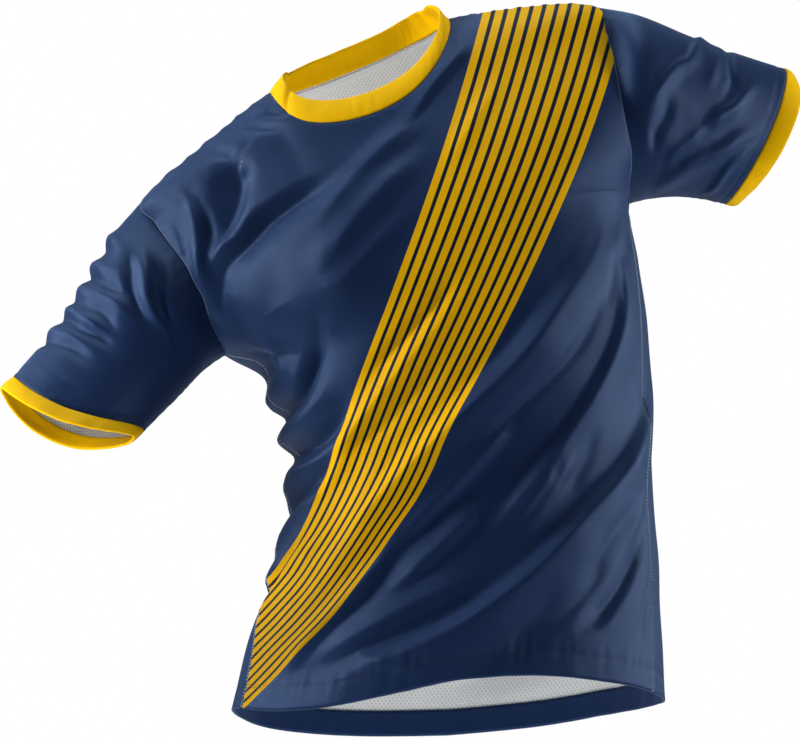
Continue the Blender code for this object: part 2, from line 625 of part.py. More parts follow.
def lining_strip(name, points, normals, gap, color):
    """A thin strip on the inside of a panel, made from the panel's own points."""
    inward = PANEL_WALL / 2 + gap + FACING_WALL / 2
    moved = pulled_in(points - normals * inward, ("left", "right", "bottom"), 2 * SEAM_GAP)
    wall(name, moved, normals * FACING_WALL / 2, color, color)


def between_rows(grid, place):
    """The row at a fractional place in a grid."""
    low = int(place)
    share = place - low
    return grid[low] * (1 - share) + grid[low + 1] * share


def clear_scene():
    for piece in list(bpy.data.objects):
        bpy.data.objects.remove(piece)


def build_sleeve(name, side, table, folds, run_table):
    """One sleeve and its cuff; gives back the sleeve's normals at the armhole."""
    points, normals = sleeve_cloth(side, table, folds, SLEEVE_STEPS)
    cuff, cuff_normals = cuff_cloth(points, side, run_table)
    hole_angle, hole_down = armhole_ring()
    torso_normals = body_normals(body_cloth, side * hole_angle, hole_down)
    half = normals * PANEL_WALL / 2
    half[0] = mitre(torso_normals, normals[0], PANEL_WALL)
    half[-1] = mitre(normals[-1], cuff_normals[0], PANEL_WALL)
    cuff_half = cuff_normals * CUFF_WALL / 2
    cuff_half[0] = mitre(normals[-1], cuff_normals[0], CUFF_WALL)
    wall(f"sleeve_{name}", pulled_in(points, ("bottom", "top")), half, "navy", "reverse", closed=True)
    wall(f"cuff_{name}", pulled_in(cuff, ("bottom",)), cuff_half, "gold", "gold", closed=True)
    return normals[0]


def build_body(name, drop, faces_back, sleeve_normals, collar_normals):
    """Front or back with its turned-up hem, and on the back the neck tape."""
    points, normals, half = body_panel(drop, faces_back, sleeve_normals, collar_normals)
    wall(name, pulled_in(points, ("left", "right", "top")), half, "navy", "reverse")
    turned_up = slice(0, HEM_TURN_UP_ROWS + 1)
    lining_strip(f"hem_{name}", points[turned_up], normals[turned_up], HEM_GAP, "navy")
    if faces_back:
        neck = slice(SHOULDER_STEPS, SHOULDER_STEPS + NECK_STEPS + 1)
        below_collar, below_collar_normals = points[::-1, neck], normals[::-1, neck]
        tape = np.array([between_rows(below_collar, place) for place in TAPE_ROWS])
        tape_normals = np.array([between_rows(below_collar_normals, place) for place in TAPE_ROWS])
        lining_strip("neck_tape", tape, unit(tape_normals), TAPE_GAP, "white")


def build_collar(points, normals):
    angle, down = neck_ring()
    half = normals * COLLAR_WALL / 2
    half[0] = mitre(body_normals(body_cloth, angle, down), normals[0], PANEL_WALL)
    wall("collar", pulled_in(points, ("bottom",)), half, "gold", "gold", closed=True)


def main():
    clear_scene()
    collar, collar_normals = collar_cloth()
    sleeve_normals = {
        "right": build_sleeve("right", -1.0, RIGHT_SLEEVE, RIGHT_SLEEVE_FOLDS, RIGHT_CUFF_RUN),
        "left": build_sleeve("left", 1.0, LEFT_SLEEVE, LEFT_SLEEVE_FOLDS, LEFT_CUFF_RUN),
    }
    build_body("front", FRONT_NECK_DROP, False, sleeve_normals, collar_normals[0])
    build_body("back", BACK_NECK_DROP, True, sleeve_normals, collar_normals[0])
    build_collar(collar, collar_normals)


main()
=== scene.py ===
"""The looks of a short-sleeved soccer jersey that is filled out as worn, with nobody in it.

Metres, +Z up, the front faces -Y and the wearer's left is +X. Every sewn piece is a thin shell on the
form of its solid: the body tube, the sleeves and the knitted bands are worked out from the same tables as
the solids, at finer steps, with finer folds, seam grooves and puckers on top. Sewing is laid on as
threads. Knit, mesh, weave and the striped sash are in the materials.
"""

import math

import bpy
import numpy as np
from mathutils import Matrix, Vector


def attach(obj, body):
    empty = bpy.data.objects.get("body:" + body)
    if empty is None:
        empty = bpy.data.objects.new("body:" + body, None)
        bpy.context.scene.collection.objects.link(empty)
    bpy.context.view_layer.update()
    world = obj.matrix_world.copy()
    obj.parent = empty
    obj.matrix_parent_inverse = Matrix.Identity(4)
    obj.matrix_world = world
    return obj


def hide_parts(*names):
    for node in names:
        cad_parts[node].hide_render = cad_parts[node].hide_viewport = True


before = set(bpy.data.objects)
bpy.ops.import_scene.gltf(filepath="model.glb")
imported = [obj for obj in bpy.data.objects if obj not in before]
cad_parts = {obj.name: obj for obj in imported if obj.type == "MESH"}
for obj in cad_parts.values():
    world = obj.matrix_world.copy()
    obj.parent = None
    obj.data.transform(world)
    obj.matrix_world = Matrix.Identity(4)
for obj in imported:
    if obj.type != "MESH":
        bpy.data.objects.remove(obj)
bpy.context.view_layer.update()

# Cloth and making up
CLOTH = 0.0012
BAND = 0.0026
FACING = 0.0007
LAYER_GAP = 0.0002
COLLAR_HEIGHT = 0.026
COLLAR_BULGE = 0.0015
CUFF_HEIGHT = 0.0195
HEM_TURN_UP = 0.025
TAPE_ROWS = (0.98, 4.34)  # the rows of the back's grid, below the neckline, that the tape reaches
TAPE_STEPS = 4

# Neckline and armholes, on the body tube. "Down" is measured from the shoulder line at the neck.
NECK_HALF_WIDTH = 0.097
FRONT_NECK_DROP = 0.063
BACK_NECK_DROP = 0.006
SHOULDER_DROP = 0.042
UNDERARM_DOWN = 0.233
ARMHOLE_BITE_DEG = 32.0
ARMHOLE_ROUNDNESS = 0.58
ARMHOLE_SKEW = 1.10
HEM_DOWN = 0.676
HEM_DRAPE_POWER = 3  # how late, down the body, the hem starts to hang on
QUARTER_GIRTH = 0.270
SLEEVE_GIRTH = 0.400
SLEEVE_LENGTH = 0.210
SLEEVE_PLAIN = 0.12  # the share of a sleeve beside its armhole where the folds fade in

# How finely each panel is sampled
SHOULDER_STEPS = 48
NECK_STEPS = 96
SIDE_STEPS = 116
ARMHOLE_STEPS = 72
SLEEVE_STEPS = 74
COLLAR_STEPS = 10
CUFF_STEPS = 8
HEM_TURN_UP_ROWS = 8
EDGE_ROUND_STEPS = 5
ARC_STEPS = 16
ARC_ROUNDS = 4
PATH_SAMPLES = 401
NORMAL_STEP_DEG = 0.5
NORMAL_STEP_DOWN = 0.0015
ROW_BEND = 2.5

# Seams: the groove along every seam, and the puckers beside it
GROOVE_DEPTH = 0.0008
GROOVE_WIDTH = 0.0024
PUCKER_HEIGHT = 0.00035
PUCKER_REACH = 0.011
PUCKER_PITCH = 0.0135
CUFF_PUCKER_PITCH = 0.0108
# What makes a row of puckers uneven: reach, length in puckers and shift of the slow waves under it
PUCKER_DRIFTS = ((1.6, 5.3, 0.0), (0.9, 2.9, 1.0))
PUCKER_SWING = (0.35, 7.7, 2.0)

RING_COLUMNS = ("down", "x", "y", "z", "roll", "pitch", "half_width", "front_depth", "back_depth", "square")
BODY_RINGS = (
    (0.000, 0.000, 0.000, 0.000, 23.0, 8.0, 0.097, 0.048, 0.045, 0.00),
    (0.020, 0.004, 0.000, -0.020, 24.0, 8.0, 0.167, 0.060, 0.060, 0.00),
    (0.042, 0.009, 0.000, -0.046, 24.0, 7.5, 0.244, 0.070, 0.075, 0.00),
    (0.073, 0.022, 0.001, -0.078, 23.3, 6.0, 0.261, 0.082, 0.092, 0.01),
    (0.140, 0.045, 0.002, -0.140, 22.2, 4.0, 0.272, 0.106, 0.116, 0.02),
    (0.190, 0.060, 0.002, -0.188, 21.5, 2.5, 0.249, 0.118, 0.124, 0.03),
    (0.233, 0.070, 0.002, -0.230, 21.0, 2.0, 0.216, 0.124, 0.124, 0.04),
    (0.278, 0.092, 0.002, -0.271, 16.5, 1.0, 0.197, 0.125, 0.120, 0.05),
    (0.330, 0.102, 0.000, -0.320, 12.0, 0.0, 0.191, 0.122, 0.112, 0.05),
    (0.400, 0.109, -0.002, -0.388, 8.7, -0.5, 0.183, 0.117, 0.104, 0.04),
    (0.465, 0.111, -0.004, -0.454, 5.8, -1.0, 0.182, 0.114, 0.102, 0.03),
    (0.540, 0.105, -0.006, -0.529, 3.8, -1.5, 0.193, 0.116, 0.108, 0.03),
    (0.605, 0.096, -0.008, -0.593, 2.6, -1.5, 0.204, 0.120, 0.116, 0.03),
    (0.676, 0.090, -0.010, -0.663, 1.6, -1.5, 0.213, 0.124, 0.122, 0.03),
)

# How far the hem hangs below its ring, round the body from centre back (-180) by the right side (-90)
HEM_COLUMNS = ("angle", "extra")
HEM_LINE = (
    (-180, 0.010), (-155, 0.010), (-128, 0.007), (-100, 0.001), (-75, 0.004), (-50, 0.018), (-35, 0.021),
    (-12, 0.010), (0, 0.001), (15, -0.004), (50, 0.000), (80, 0.004), (110, 0.000), (135, 0.000),
    (155, 0.005), (180, 0.010),
)

# Sleeve rings: the ends of each ring's long diameter, on top and under the arm, its middle's way to the
# front, and how far its front and back hang on past those two ends
SLEEVE_COLUMNS = (
    "along", "top_x", "top_y", "top_z", "under_x", "under_y", "under_z",
    "front_x", "front_y", "front_z", "sag",
)
RIGHT_SLEEVE = (
    (0.00, 0, 0, 0, 0, 0, 0, 0, 0, 0, 0.000),
    (0.22, -0.248, -0.004, -0.192, -0.146, -0.014, -0.319, 0.000, -0.066, 0.000, 0.000),
    (0.48, -0.275, -0.020, -0.244, -0.160, -0.030, -0.336, 0.000, -0.056, 0.002, 0.004),
    (0.74, -0.302, -0.040, -0.294, -0.183, -0.048, -0.365, 0.000, -0.046, 0.004, 0.014),
    (1.00, -0.341, -0.064, -0.346, -0.211, -0.070, -0.400, 0.000, -0.037, 0.005, 0.023),
)
LEFT_SLEEVE = (
    (0.00, 0, 0, 0, 0, 0, 0, 0, 0, 0, 0.000),
    (0.22, 0.278, 0.006, 0.044, 0.296, 0.008, -0.144, 0.000, -0.066, 0.000, 0.000),
    (0.48, 0.330, 0.016, 0.026, 0.324, 0.018, -0.140, 0.002, -0.056, 0.000, 0.000),
    (0.74, 0.381, 0.030, 0.010, 0.349, 0.030, -0.140, 0.006, -0.046, 0.000, 0.002),
    (1.00, 0.432, 0.048, -0.001, 0.373, 0.044, -0.142, 0.012, -0.037, 0.000, 0.004),
)

# Which way each knitted band runs on from its seam, round its ring
RUN_COLUMNS = ("turn", "x", "y", "z")
RIGHT_CUFF_RUN = (
    (0, -0.58, -0.50, -0.64),
    (90, -0.38, -0.66, -0.64),
    (180, -0.38, -0.72, -0.50),
    (270, -0.50, -0.55, -0.68),
)
LEFT_CUFF_RUN = (
    (0, 0.20, 0.96, 0.20),
    (90, 0.96, 0.20, -0.10),
    (180, 0.55, 0.82, 0.12),
    (270, 0.45, 0.88, 0.00),
)
COLLAR_RUN = (
    (0, -0.06, 0.36, 0.93),
    (90, -0.88, 0.05, 0.46),
    (180, 0.00, -0.50, 0.86),
    (270, 0.62, 0.05, 0.78),
)

# Folds and pleats in the cloth: how high the ridge stands (negative for a trough), its half width, how far
# it leans (negative: steep on the side that its path keeps on the left), and the path its crest follows.
# Body paths hold (angle, down); sleeve paths (turn, along), turn 0 on top, 90 in front, 180 under the arm.
FOLD_COLUMNS = ("height", "width", "lean", "path")
BODY_FOLDS = (
    # long drags from the left chest down to the right hip
    (0.0150, 0.019, -0.4,
     ((50, 0.261), (33, 0.306), (16, 0.362), (-3, 0.410), (-22, 0.463), (-42, 0.539), (-52, 0.575))),
    (0.0080, 0.015, -0.6, ((58, 0.302), (54, 0.333), (42, 0.395), (20, 0.475), (4, 0.540))),
    (0.0125, 0.018, -0.5,
     ((87, 0.353), (78, 0.398), (56, 0.462), (36, 0.515), (18, 0.578), (-2, 0.630), (-22, 0.655),
      (-38, 0.674))),
    (0.0066, 0.012, 0.3, ((6, 0.572), (-8, 0.592), (-24, 0.622), (-42, 0.652))),
    # crushed cloth at the right waist, round the side seam
    (0.0060, 0.014, 0.0, ((-125, 0.308), (-95, 0.322), (-80, 0.322), (-68, 0.312), (-58, 0.285))),
    (-0.0138, 0.010, 0.0,
     ((-130, 0.330), (-95, 0.352), (-74, 0.352), (-57, 0.345), (-47, 0.308), (-41, 0.268))),
    (0.0062, 0.011, 0.0, ((-125, 0.360), (-90, 0.377), (-65, 0.376), (-50, 0.362), (-40, 0.325))),
    (-0.0138, 0.011, 0.0,
     ((-135, 0.376), (-95, 0.399), (-72, 0.402), (-53, 0.405), (-42, 0.388), (-36, 0.362))),
    (0.0064, 0.012, -0.2,
     ((-128, 0.425), (-90, 0.436), (-70, 0.431), (-51, 0.420), (-40, 0.398), (-32, 0.372))),
    (-0.0070, 0.010, 0.0, ((-125, 0.462), (-90, 0.473), (-66, 0.458), (-50, 0.440), (-39, 0.416))),
    (0.0050, 0.011, -0.2,
     ((-120, 0.496), (-90, 0.504), (-69, 0.479), (-52, 0.457), (-42, 0.432), (-36, 0.404))),
    (0.0046, 0.012, 0.0, ((-118, 0.528), (-92, 0.537), (-76, 0.530), (-62, 0.508))),
    # round the right shoulder and chest
    (-0.0135, 0.0125, -0.1,
     ((-10, 0.113), (-16, 0.117), (-22, 0.120), (-30, 0.127), (-35, 0.136), (-40, 0.145), (-46, 0.154),
      (-51, 0.168), (-57, 0.192), (-60, 0.216), (-58, 0.240))),
    (-0.0125, 0.013, 0.45, ((-34, 0.052), (-36, 0.072), (-38, 0.095), (-42, 0.115), (-47, 0.130))),
    (-0.0020, 0.026, 0.0, ((-60, 0.215), (-50, 0.270), (-42, 0.330))),
    # from the neck down over the chest
    (0.0052, 0.010, 0.0, ((8, 0.083), (-8, 0.117), (-21, 0.158))),
    (0.0058, 0.011, 0.0, ((4, 0.121), (-10, 0.160), (-27, 0.214))),
    # the back, where the photograph doesn't reach
    (0.0095, 0.018, -0.4, ((118, 0.262), (150, 0.335), (185, 0.395), (222, 0.440))),
    (-0.0065, 0.014, 0.0, ((124, 0.250), (156, 0.310), (190, 0.368), (224, 0.405))),
    (0.0095, 0.018, -0.4, ((108, 0.400), (138, 0.470), (170, 0.535), (205, 0.590))),
    (-0.0065, 0.014, 0.0, ((112, 0.380), (142, 0.440), (176, 0.505), (210, 0.560))),
    (0.0056, 0.013, 0.3, ((128, 0.560), (155, 0.605), (185, 0.640))),
    (0.0060, 0.012, 0.3, ((238, 0.150), (222, 0.200), (200, 0.240))),
    (-0.0060, 0.010, 0.0, ((240, 0.172), (220, 0.228), (200, 0.272))),
    (0.0052, 0.012, 0.3, ((126, 0.110), (142, 0.160), (165, 0.205))),
)
RIGHT_SLEEVE_FOLDS = (
    (-0.0060, 0.006, 0.0, ((50, 0.20), (64, 0.28), (77, 0.37), (103, 0.48))),
    (-0.0056, 0.006, 0.0, ((64, 0.07), (88, 0.18), (103, 0.28), (118, 0.36))),
    (0.0045, 0.006, 0.0, ((51, 0.12), (76, 0.23), (92, 0.35), (116, 0.42))),
    (-0.0050, 0.005, 0.0, ((-30, 0.44), (13, 0.43), (51, 0.43), (77, 0.39))),
    (0.0040, 0.006, 0.0, ((-25, 0.36), (20, 0.37), (56, 0.34))),
    (-0.0046, 0.005, 0.0, ((-20, 0.57), (39, 0.57), (64, 0.55), (90, 0.61))),
    (0.0040, 0.006, 0.0, ((-20, 0.51), (26, 0.50), (64, 0.47), (90, 0.48))),
    (-0.0048, 0.005, 0.0, ((-35, 0.70), (26, 0.67), (51, 0.67), (77, 0.65), (94, 0.68))),
    (0.0040, 0.006, 0.0, ((-30, 0.63), (26, 0.62), (51, 0.62), (77, 0.62))),
    (-0.0046, 0.005, 0.0, ((-35, 0.83), (26, 0.80), (60, 0.76), (90, 0.78))),
    (0.0042, 0.006, 0.0, ((-35, 0.77), (25, 0.74), (70, 0.71))),
    (0.0040, 0.007, 0.0, ((-30, 0.20), (10, 0.22), (45, 0.20))),
    (-0.0040, 0.006, 0.0, ((-30, 0.28), (15, 0.29), (52, 0.26))),
    (0.0046, 0.010, 0.0, ((235, 0.20), (255, 0.45), (285, 0.62))),
    (-0.0046, 0.010, 0.0, ((225, 0.30), (245, 0.55), (275, 0.75))),
)
LEFT_SLEEVE_FOLDS = (
    (0.0038, 0.0050, 0.5, ((-30, 0.62), (0, 0.57), (51, 0.50), (64, 0.43), (90, 0.29), (103, 0.18))),
    (0.0062, 0.0085, 0.25,
     ((90, 0.97), (103, 0.85), (116, 0.75), (129, 0.62), (141, 0.47), (154, 0.32), (167, 0.22))),
    (0.0040, 0.0052, 0.4, ((51, 0.85), (77, 0.77), (90, 0.68), (103, 0.58))),
    (0.0040, 0.0058, 0.4, ((103, 0.95), (116, 0.88), (129, 0.82), (154, 0.77), (167, 0.68))),
    (-0.0034, 0.0065, 0.0, ((90, 0.40), (103, 0.35), (116, 0.28), (129, 0.22))),
    (0.0044, 0.010, 0.0, ((240, 0.20), (262, 0.45), (300, 0.62))),
    (-0.0044, 0.010, 0.0, ((228, 0.35), (255, 0.60), (290, 0.80))),
)
FOLD_CREST = 0.14
FOLD_SLOPE = 1.5
FOLD_FOOT = 0.24
FOLD_FADE = 0.30
FOLD_REACH = 3
CURVE_STEPS = 8

# Long soft waves of cloth that nothing holds, each bent by another one
RIPPLE_HEIGHT = 0.00022
RIPPLES = (
    # share, turns across and down; the bend, its turns across and down, and its shift
    (1.0, 71.0, 38.0, 1.7, 0.0, 23.0, 0.0),
    (0.7, -52.0, 83.0, 1.3, 31.0, 0.0, 0.0),
    (0.5, 131.0, 17.0, 2.1, 0.0, 29.0, 1.0),
)

# Where the side seams lie, in degrees from centre front, down the body
SEAM_COLUMNS = ("down", "right", "left")
SIDE_SEAMS = (
    (0.233, 90, 90), (0.262, 78, 77), (0.300, 79, 72), (0.400, 82, 70), (0.500, 86, 70), (0.565, 83, 70),
    (0.610, 72, 69), (0.676, 69, 67),
)

# Both edges of the striped sash, as they run on the plain body when seen from the front and a little below
SASH_COLUMNS = ("height", "lower", "upper")
SASH_EDGES = (
    (-0.650, -0.206, -0.112), (-0.619, -0.177, -0.081), (-0.589, -0.149, -0.053), (-0.560, -0.121, -0.025),
    (-0.531, -0.094, -0.002), (-0.516, -0.082, 0.009), (-0.502, -0.073, 0.019), (-0.474, -0.055, 0.038),
    (-0.445, -0.041, 0.058), (-0.415, -0.029, 0.074), (-0.386, -0.019, 0.086), (-0.327, 0.001, 0.117),
    (-0.248, 0.031, 0.158), (-0.169, 0.060, 0.195), (-0.099, 0.084, 0.225), (-0.038, 0.103, 0.247),
    (0.055, 0.129, 0.275),
)
SASH_TILT_DEG = 12.0
SASH_FOLLOWS = 0.6  # how far the print goes along with the folds
SASH_PAINTED_SHADE = (0.43, 0.62)  # down the front, where painted shade darkens the gold towards the hip
STRIPES = 12
GOLD_SHARE = 0.66

# Pleats across the shoulder seams: side, down, height, half width, and how far they run each way, degrees
SHOULDER_PLEATS = (
    (1, 0.0045, 0.0014, 0.0036, 26, 20), (1, 0.0080, 0.0020, 0.0038, 34, 26),
    (1, 0.0115, 0.0016, 0.0034, 24, 22), (1, 0.0148, 0.0022, 0.0038, 36, 30),
    (1, 0.0182, 0.0018, 0.0034, 28, 20), (1, 0.0220, 0.0024, 0.0040, 40, 30),
    (1, 0.0255, 0.0017, 0.0034, 26, 22), (1, 0.0292, 0.0022, 0.0040, 34, 26),
    (1, 0.0330, 0.0018, 0.0038, 30, 24), (1, 0.0368, 0.0016, 0.0036, 26, 20),
    (-1, 0.0060, 0.0014, 0.0040, 30, 20), (-1, 0.0110, 0.0020, 0.0046, 40, 26),
    (-1, 0.0160, 0.0015, 0.0040, 30, 24), (-1, 0.0215, 0.0022, 0.0050, 42, 28),
    (-1, 0.0270, 0.0016, 0.0044, 32, 22), (-1, 0.0330, 0.0020, 0.0050, 38, 26),
)
SHOULDER_DEPTH_PER_DEG = 0.0011
SHOULDER_RUN = 3.6  # metres of cloth along the shoulder for each metre down

# Smaller creases, which only the cloth here has
FINE_BODY_FOLDS = (
    # thin creases beside the long drags
    (-0.0068, 0.009, 0.3, ((66, 0.520), (50, 0.584), (36, 0.632))),
    (0.0058, 0.009, 0.4, ((13, 0.421), (5, 0.446), (-11, 0.497), (-24, 0.548))),
    (0.0054, 0.009, 0.3, ((-18, 0.512), (-28, 0.576), (-42, 0.631), (-50, 0.658))),
    (0.0052, 0.009, 0.4, ((6, 0.494), (-7, 0.539), (-20, 0.589))),
    (-0.0030, 0.006, 0.0, ((50, 0.297), (42, 0.329), (32, 0.364), (10, 0.421), (0, 0.446))),
    (-0.0022, 0.006, 0.0, ((56, 0.272), (52, 0.300), (46, 0.325))),
    (0.0036, 0.0065, 0.4, ((26, 0.468), (21, 0.489), (13, 0.523))),
    (0.0036, 0.008, 0.4, ((32, 0.457), (27, 0.482), (16, 0.534))),
    (-0.0024, 0.006, 0.0, ((57, 0.503), (47, 0.530), (34, 0.586))),
    (-0.0024, 0.007, 0.0, ((44, 0.556), (38, 0.586), (28, 0.620))),
    (-0.0034, 0.015, 0.0, ((29, 0.585), (22, 0.615), (13, 0.646))),
    (-0.0024, 0.007, 0.0, ((42, 0.432), (36, 0.464), (29, 0.493))),
    (-0.0020, 0.005, 0.0, ((70, 0.560), (63, 0.600), (60, 0.640))),
    (0.0024, 0.006, 0.2, ((72, 0.470), (62, 0.505), (52, 0.545))),
    # under the sash, and beside it at the neck
    (0.0052, 0.008, 0.2, ((12, 0.258), (-12, 0.329), (-28, 0.376), (-40, 0.415), (-50, 0.461))),
    (-0.0044, 0.008, 0.0, ((7, 0.251), (-14, 0.306), (-32, 0.357))),
    (0.0042, 0.009, 0.2, ((-24, 0.420), (-40, 0.499), (-62, 0.548))),
    (-0.0060, 0.0021, 0.0, ((-84, 0.015), (-60, 0.020), (-44, 0.025), (-30, 0.034), (-20, 0.044))),
    (-0.0034, 0.008, 0.0, ((-2, 0.332), (-21, 0.388), (-36, 0.424))),
    (-0.0038, 0.008, 0.0, ((-30, 0.487), (-45, 0.552), (-53, 0.582))),
    (0.0030, 0.008, 0.0, ((-18, 0.523), (-38, 0.610), (-48, 0.646))),
    (0.0026, 0.006, 0.0, ((30, 0.072), (16, 0.119), (10, 0.151))),
    (0.0034, 0.005, 0.3, ((31, 0.031), (14, 0.060), (4, 0.090))),
    (0.0042, 0.010, 0.0, ((-1, 0.177), (-19, 0.219), (-28, 0.235))),
    # at the right chest and waist
    (-0.0056, 0.008, 0.0, ((-118, 0.552), (-92, 0.552), (-76, 0.545), (-64, 0.514), (-56, 0.490))),
    (-0.0075, 0.0028, 0.0, ((-82, 0.024), (-62, 0.028), (-48, 0.034), (-40, 0.041), (-37, 0.046))),
    (-0.0046, 0.0017, 0.0, ((-82, 0.012), (-60, 0.015), (-40, 0.021), (-29, 0.027), (-22, 0.031))),
    (0.0050, 0.006, 0.0, ((-58, 0.040), (-52, 0.079), (-51, 0.115), (-55, 0.152), (-62, 0.180))),
    (-0.0034, 0.0045, 0.0, ((-50, 0.068), (-47, 0.100), (-50, 0.135), (-56, 0.158))),
    (0.0075, 0.030, 0.0, ((-16, 0.126), (-21, 0.165), (-26, 0.210), (-29, 0.260))),
    (-0.0028, 0.005, 0.0, ((-60, 0.077), (-56, 0.108), (-57, 0.163))),
    (0.0030, 0.005, 0.0, ((-80, 0.015), (-54, 0.016), (-33, 0.024))),
    (0.0034, 0.008, 0.0, ((-54, 0.237), (-61, 0.278), (-61, 0.323))),
    (-0.0030, 0.006, 0.0, ((-32, 0.234), (-42, 0.281), (-50, 0.330))),
    (0.0018, 0.005, 0.0, ((-66, 0.240), (-60, 0.262), (-50, 0.280))),
    (-0.0020, 0.005, 0.0, ((-74, 0.246), (-62, 0.272), (-50, 0.292))),
    (0.0018, 0.006, 0.0, ((70, 0.238), (62, 0.262), (50, 0.280))),
    (-0.0020, 0.006, 0.0, ((76, 0.250), (66, 0.272), (54, 0.284))),
    (0.0016, 0.005, 0.0, ((-36, 0.480), (-24, 0.452), (-16, 0.430))),
    (0.0016, 0.006, 0.0, ((-28, 0.640), (-18, 0.655), (-6, 0.668))),
    # on the back
    (0.0022, 0.006, 0.2, ((150, 0.250), (165, 0.280), (185, 0.300))),
    (-0.0026, 0.006, 0.0, ((130, 0.300), (150, 0.345), (172, 0.372))),
    (0.0026, 0.006, 0.3, ((206, 0.480), (190, 0.500), (168, 0.512))),
    (-0.0026, 0.006, 0.0, ((222, 0.520), (204, 0.548), (184, 0.560))),
    (0.0030, 0.008, 0.3, ((126, 0.420), (146, 0.470), (160, 0.520))),
    (-0.0024, 0.006, 0.0, ((140, 0.350), (160, 0.400), (184, 0.430))),
    (0.0024, 0.007, 0.2, ((200, 0.300), (214, 0.345), (232, 0.370))),
)
FINE_RIGHT_SLEEVE_FOLDS = (
    (0.0013, 0.004, 0.0, ((20, 0.92), (60, 0.90), (90, 0.91))),
    (-0.0012, 0.004, 0.0, ((-20, 0.33), (24, 0.33), (50, 0.31))),
    (0.0012, 0.004, 0.0, ((110, 0.36), (126, 0.50), (134, 0.64))),
)
FINE_LEFT_SLEEVE_FOLDS = (
    (0.0026, 0.005, 0.3, ((103, 0.62), (116, 0.52), (129, 0.40), (141, 0.32))),
    (-0.0030, 0.004, 0.0, ((-24, 0.69), (13, 0.70), (51, 0.72), (64, 0.73), (90, 0.67))),
    (0.0018, 0.005, 0.0, ((26, 0.62), (51, 0.63), (77, 0.60))),
    (0.0024, 0.0045, 0.3, ((77, 0.80), (90, 0.72), (103, 0.63))),
    (0.0012, 0.004, 0.2, ((116, 0.66), (130, 0.54), (142, 0.42))),
    (-0.0012, 0.004, 0.0, ((300, 0.30), (320, 0.45), (335, 0.60))),
)

# Sewing: the threads' size, and how far apart the stitches of a row start
THREAD_WIDTH = 0.0006
THREAD_HEIGHT = 0.00035
THREAD_TAPER = 0.55  # how far out from its middle a stitch keeps its width
STITCH_LENGTH = 0.0024
STITCH_PITCH = 0.0034

# Bands and hem: waves of the free edges, the swell of the doubled rib, and channels pressed in by stitching
COLLAR_WAVE = 0.0005
COLLAR_WAVE_PITCH = 0.033
COLLAR_PUCKER_PITCH = 0.010
COLLAR_STEP = 0.0028
COLLAR_DENTS = ((-0.0012, 0.005, 0.0, ((57, 0.15), (52, 0.55), (50, 0.95))),)
COLLAR_RUN_PER_DEG = 0.0017
CUFF_SWELL = 0.0008
CUFF_WAVE = 0.0004
CUFF_WAVE_PITCH = 0.027
CUFF_WAVE_TURN = 0.75
CUFF_CHANNEL_DEPTH = 0.0007
CUFF_CHANNEL_AT = 0.0080
CUFF_CHANNEL_WIDTH = 0.0022
HEM_CHANNELS = ((0.0220, 0.0012), (0.0250, 0.0012))
CHANNEL_DEPTH = 0.0004
HEM_WAVE = 0.0006
HEM_WAVE_PITCH = 0.034
STITCH_FROM_SEAM = 0.0012

# Each piece's cut: its flat width and length, and its flat area where it isn't a rectangle
CUTS = {
    "front": ((0.560, 0.725), 0.345),
    "back": ((0.560, 0.725), 0.365),
    "sleeve": ((0.440, 0.240), 0.076),
    "cuff": ((0.370, 0.0195), None),
    "collar": ((0.480, 0.026), None),
    "hem_front": ((0.510, 0.025), None),
    "hem_back": ((0.600, 0.027), None),
    "neck_tape": ((0.210, 0.014), None),
}
SLEEVES = (
    ("right", -1.0, RIGHT_SLEEVE, RIGHT_SLEEVE_FOLDS + FINE_RIGHT_SLEEVE_FOLDS, RIGHT_CUFF_RUN),
    ("left", 1.0, LEFT_SLEEVE, LEFT_SLEEVE_FOLDS + FINE_LEFT_SLEEVE_FOLDS, LEFT_CUFF_RUN),
)

# Materials: each look's colour, how uneven that is and in patches of which scale, and its gloss and sheen
NAVY = {
    "color": (0.007, 0.018, 0.062), "uneven": (0.08, 60.0), "roughness": 0.38,
    "specular": 0.36, "specular_tint": (0.26, 0.50, 1.0),
    "sheen": 0.25, "sheen_roughness": 0.45, "sheen_tint": (0.28, 0.52, 1.0),
}
SASH_LINE = dict(NAVY, color=(0.006, 0.011, 0.020), specular=0.10, sheen=0.05)
BAND_GOLD = {
    "color": (0.94, 0.52, 0.001), "uneven": (0.05, 50.0), "roughness": 0.55, "specular": 0.12,
    "specular_tint": (1.0, 0.75, 0.10), "sheen": 0.0, "sheen_roughness": 0.5, "sheen_tint": (1.0, 0.8, 0.3),
}
SASH_GOLD = dict(
    BAND_GOLD, color=(0.90, 0.475, 0.001), uneven=(0.06, 60.0), roughness=0.45, specular=0.14,
    specular_tint=(1.0, 0.80, 0.05),
)
# The gold in painted shade, which the sash's gold turns to towards the hip
SHADED_GOLD = (0.50, 0.265, 0.001)
MESH = {
    "color": (0.78, 0.78, 0.77), "roughness": 0.75, "specular": 0.2, "specular_tint": (1.0, 1.0, 1.0),
    "sheen": 0.1, "sheen_roughness": 0.5, "sheen_tint": (1.0, 1.0, 1.0),
}
# Painted shade in the eyelet holes
MESH_HOLE_SHADE = (0.52, 0.52, 0.52)
TAPE = dict(MESH, color=(0.74, 0.75, 0.77), uneven=(0.03, 80.0))
SEAM_THREAD = dict(MESH, color=(0.46, 0.52, 0.62), uneven=(0.10, 400.0), roughness=0.6, sheen=0.0)
HEM_THREAD = dict(SEAM_THREAD, color=(0.020, 0.034, 0.080))
KNIT_PITCH = (0.0012, 0.0016)
KNIT_LEAN = 0.12
KNIT_DEPTH = 0.00015
EYELET_PITCH = (0.0042, 0.0058)
EYELET_EDGE = (0.35, 0.75)
EYELET_DEPTH = 0.0003
EYELET_BUMP = 0.6
WEAVE_PITCH = 0.0011
WEAVE_DEPTH = 0.0002
